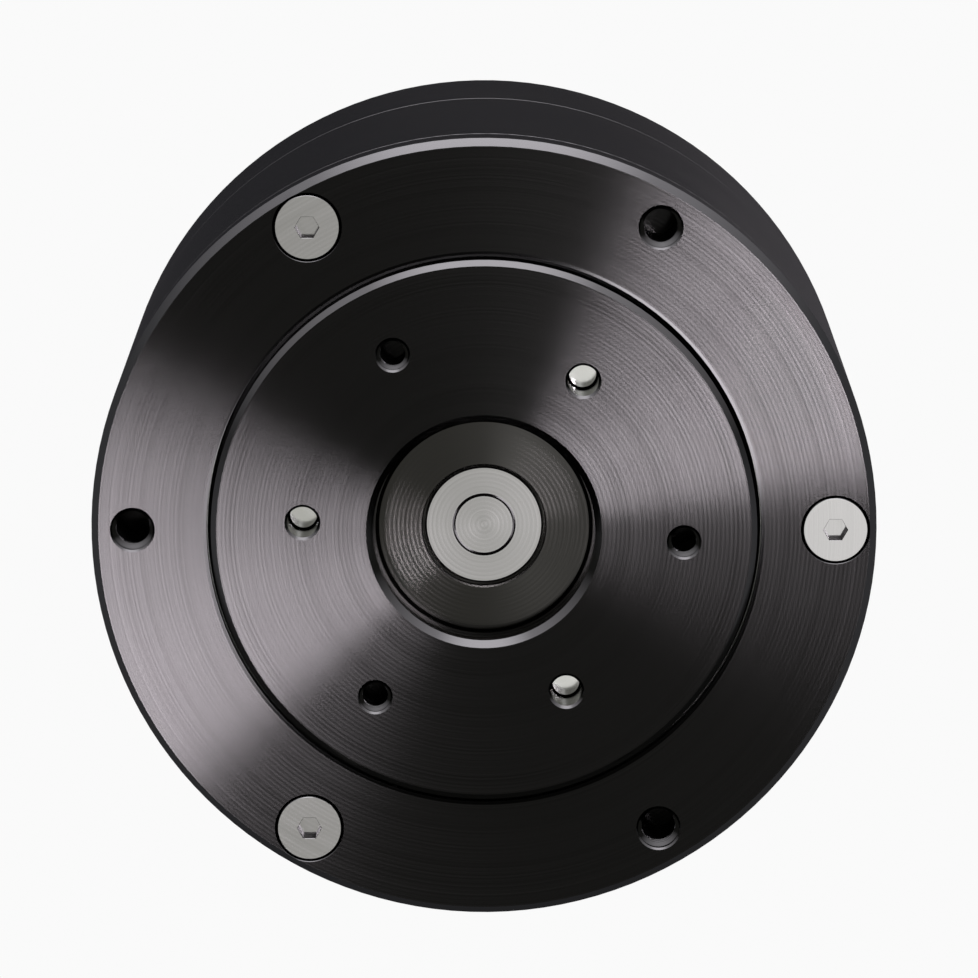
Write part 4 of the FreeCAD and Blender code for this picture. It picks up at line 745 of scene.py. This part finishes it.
def softbox(name, sizes):
    """A rectangular lamp that faces the middle of the front."""
    azimuth, elevation, width, height, power = sizes
    a, e = math.radians(azimuth), math.radians(elevation)
    away = Vector((math.cos(e) * math.cos(a), math.cos(e) * math.sin(a), math.sin(e)))
    data = bpy.data.lights.new(name, "AREA")
    data.shape = "RECTANGLE"
    data.size = width
    data.size_y = height
    data.energy = power
    data.color = SOFTBOX_COLOUR
    lamp = bpy.data.objects.new(name, data)
    lamp.location = Vector((0, 0, FACE_Z)) + away * SOFTBOX_DISTANCE
    lamp.rotation_mode = "QUATERNION"
    lamp.rotation_quaternion = (-away).to_track_quat("-Z", "Y")
    bpy.context.scene.collection.objects.link(lamp)


def plain_floor():
    """A pale floor that only the camera sees, so that it stays even and throws no light on the part."""
    mesh = bpy.data.meshes.new("floor")
    reach = FLOOR_REACH
    corners = [(-reach, -reach, 0), (reach, -reach, 0), (reach, reach, 0), (-reach, reach, 0)]
    mesh.from_pydata(corners, [], [(0, 1, 2, 3)])
    floor = bpy.data.objects.new("floor", mesh)
    floor.location.z = -FLOOR_DROP
    bpy.context.scene.collection.objects.link(floor)
    material = bpy.data.materials.new("floor")
    material.use_nodes = True
    shader = material.node_tree.nodes["Principled BSDF"]
    shader.inputs["Base Color"].default_value = (0, 0, 0, 1)
    shader.inputs["Roughness"].default_value = 1.0
    shader.inputs["Specular IOR Level"].default_value = 0.0
    shader.inputs["Emission Color"].default_value = (FLOOR_TONE, FLOOR_TONE, FLOOR_TONE, 1)
    shader.inputs["Emission Strength"].default_value = 1.0
    mesh.materials.append(material)
    floor.visible_glossy = False
    floor.visible_diffuse = False
    floor.visible_shadow = False


def add_camera():
    """A long lens that looks down at the front face, tilted a little off the axis."""
    across = Vector((1, 0, 0))
    up = Vector((0, math.cos(CAMERA_TILT), -math.sin(CAMERA_TILT)))
    back = Vector((0, math.sin(CAMERA_TILT), math.cos(CAMERA_TILT)))
    x, y, z = CAMERA_PLACE
    data = bpy.data.cameras.new("camera")
    data.lens = CAMERA_LENS
    data.sensor_width = CAMERA_SENSOR
    data.clip_start = 0.05
    data.clip_end = 50.0
    camera = bpy.data.objects.new("camera", data)
    place = Matrix((across, up, back)).transposed().to_4x4()
    place.translation = Vector((0, 0, FACE_Z)) + across * x + up * y + back * z
    camera.matrix_world = place
    bpy.context.scene.collection.objects.link(camera)
    bpy.context.scene.camera = camera


clear_flat_materials()
materials = all_materials()
paint_nodes(materials)
add_details(materials)
world_light()
softbox("softbox_right", SOFTBOX_RIGHT)
softbox("softbox_left", SOFTBOX_LEFT)
plain_floor()
add_camera()
bpy.context.scene.view_settings.view_transform = "Standard"
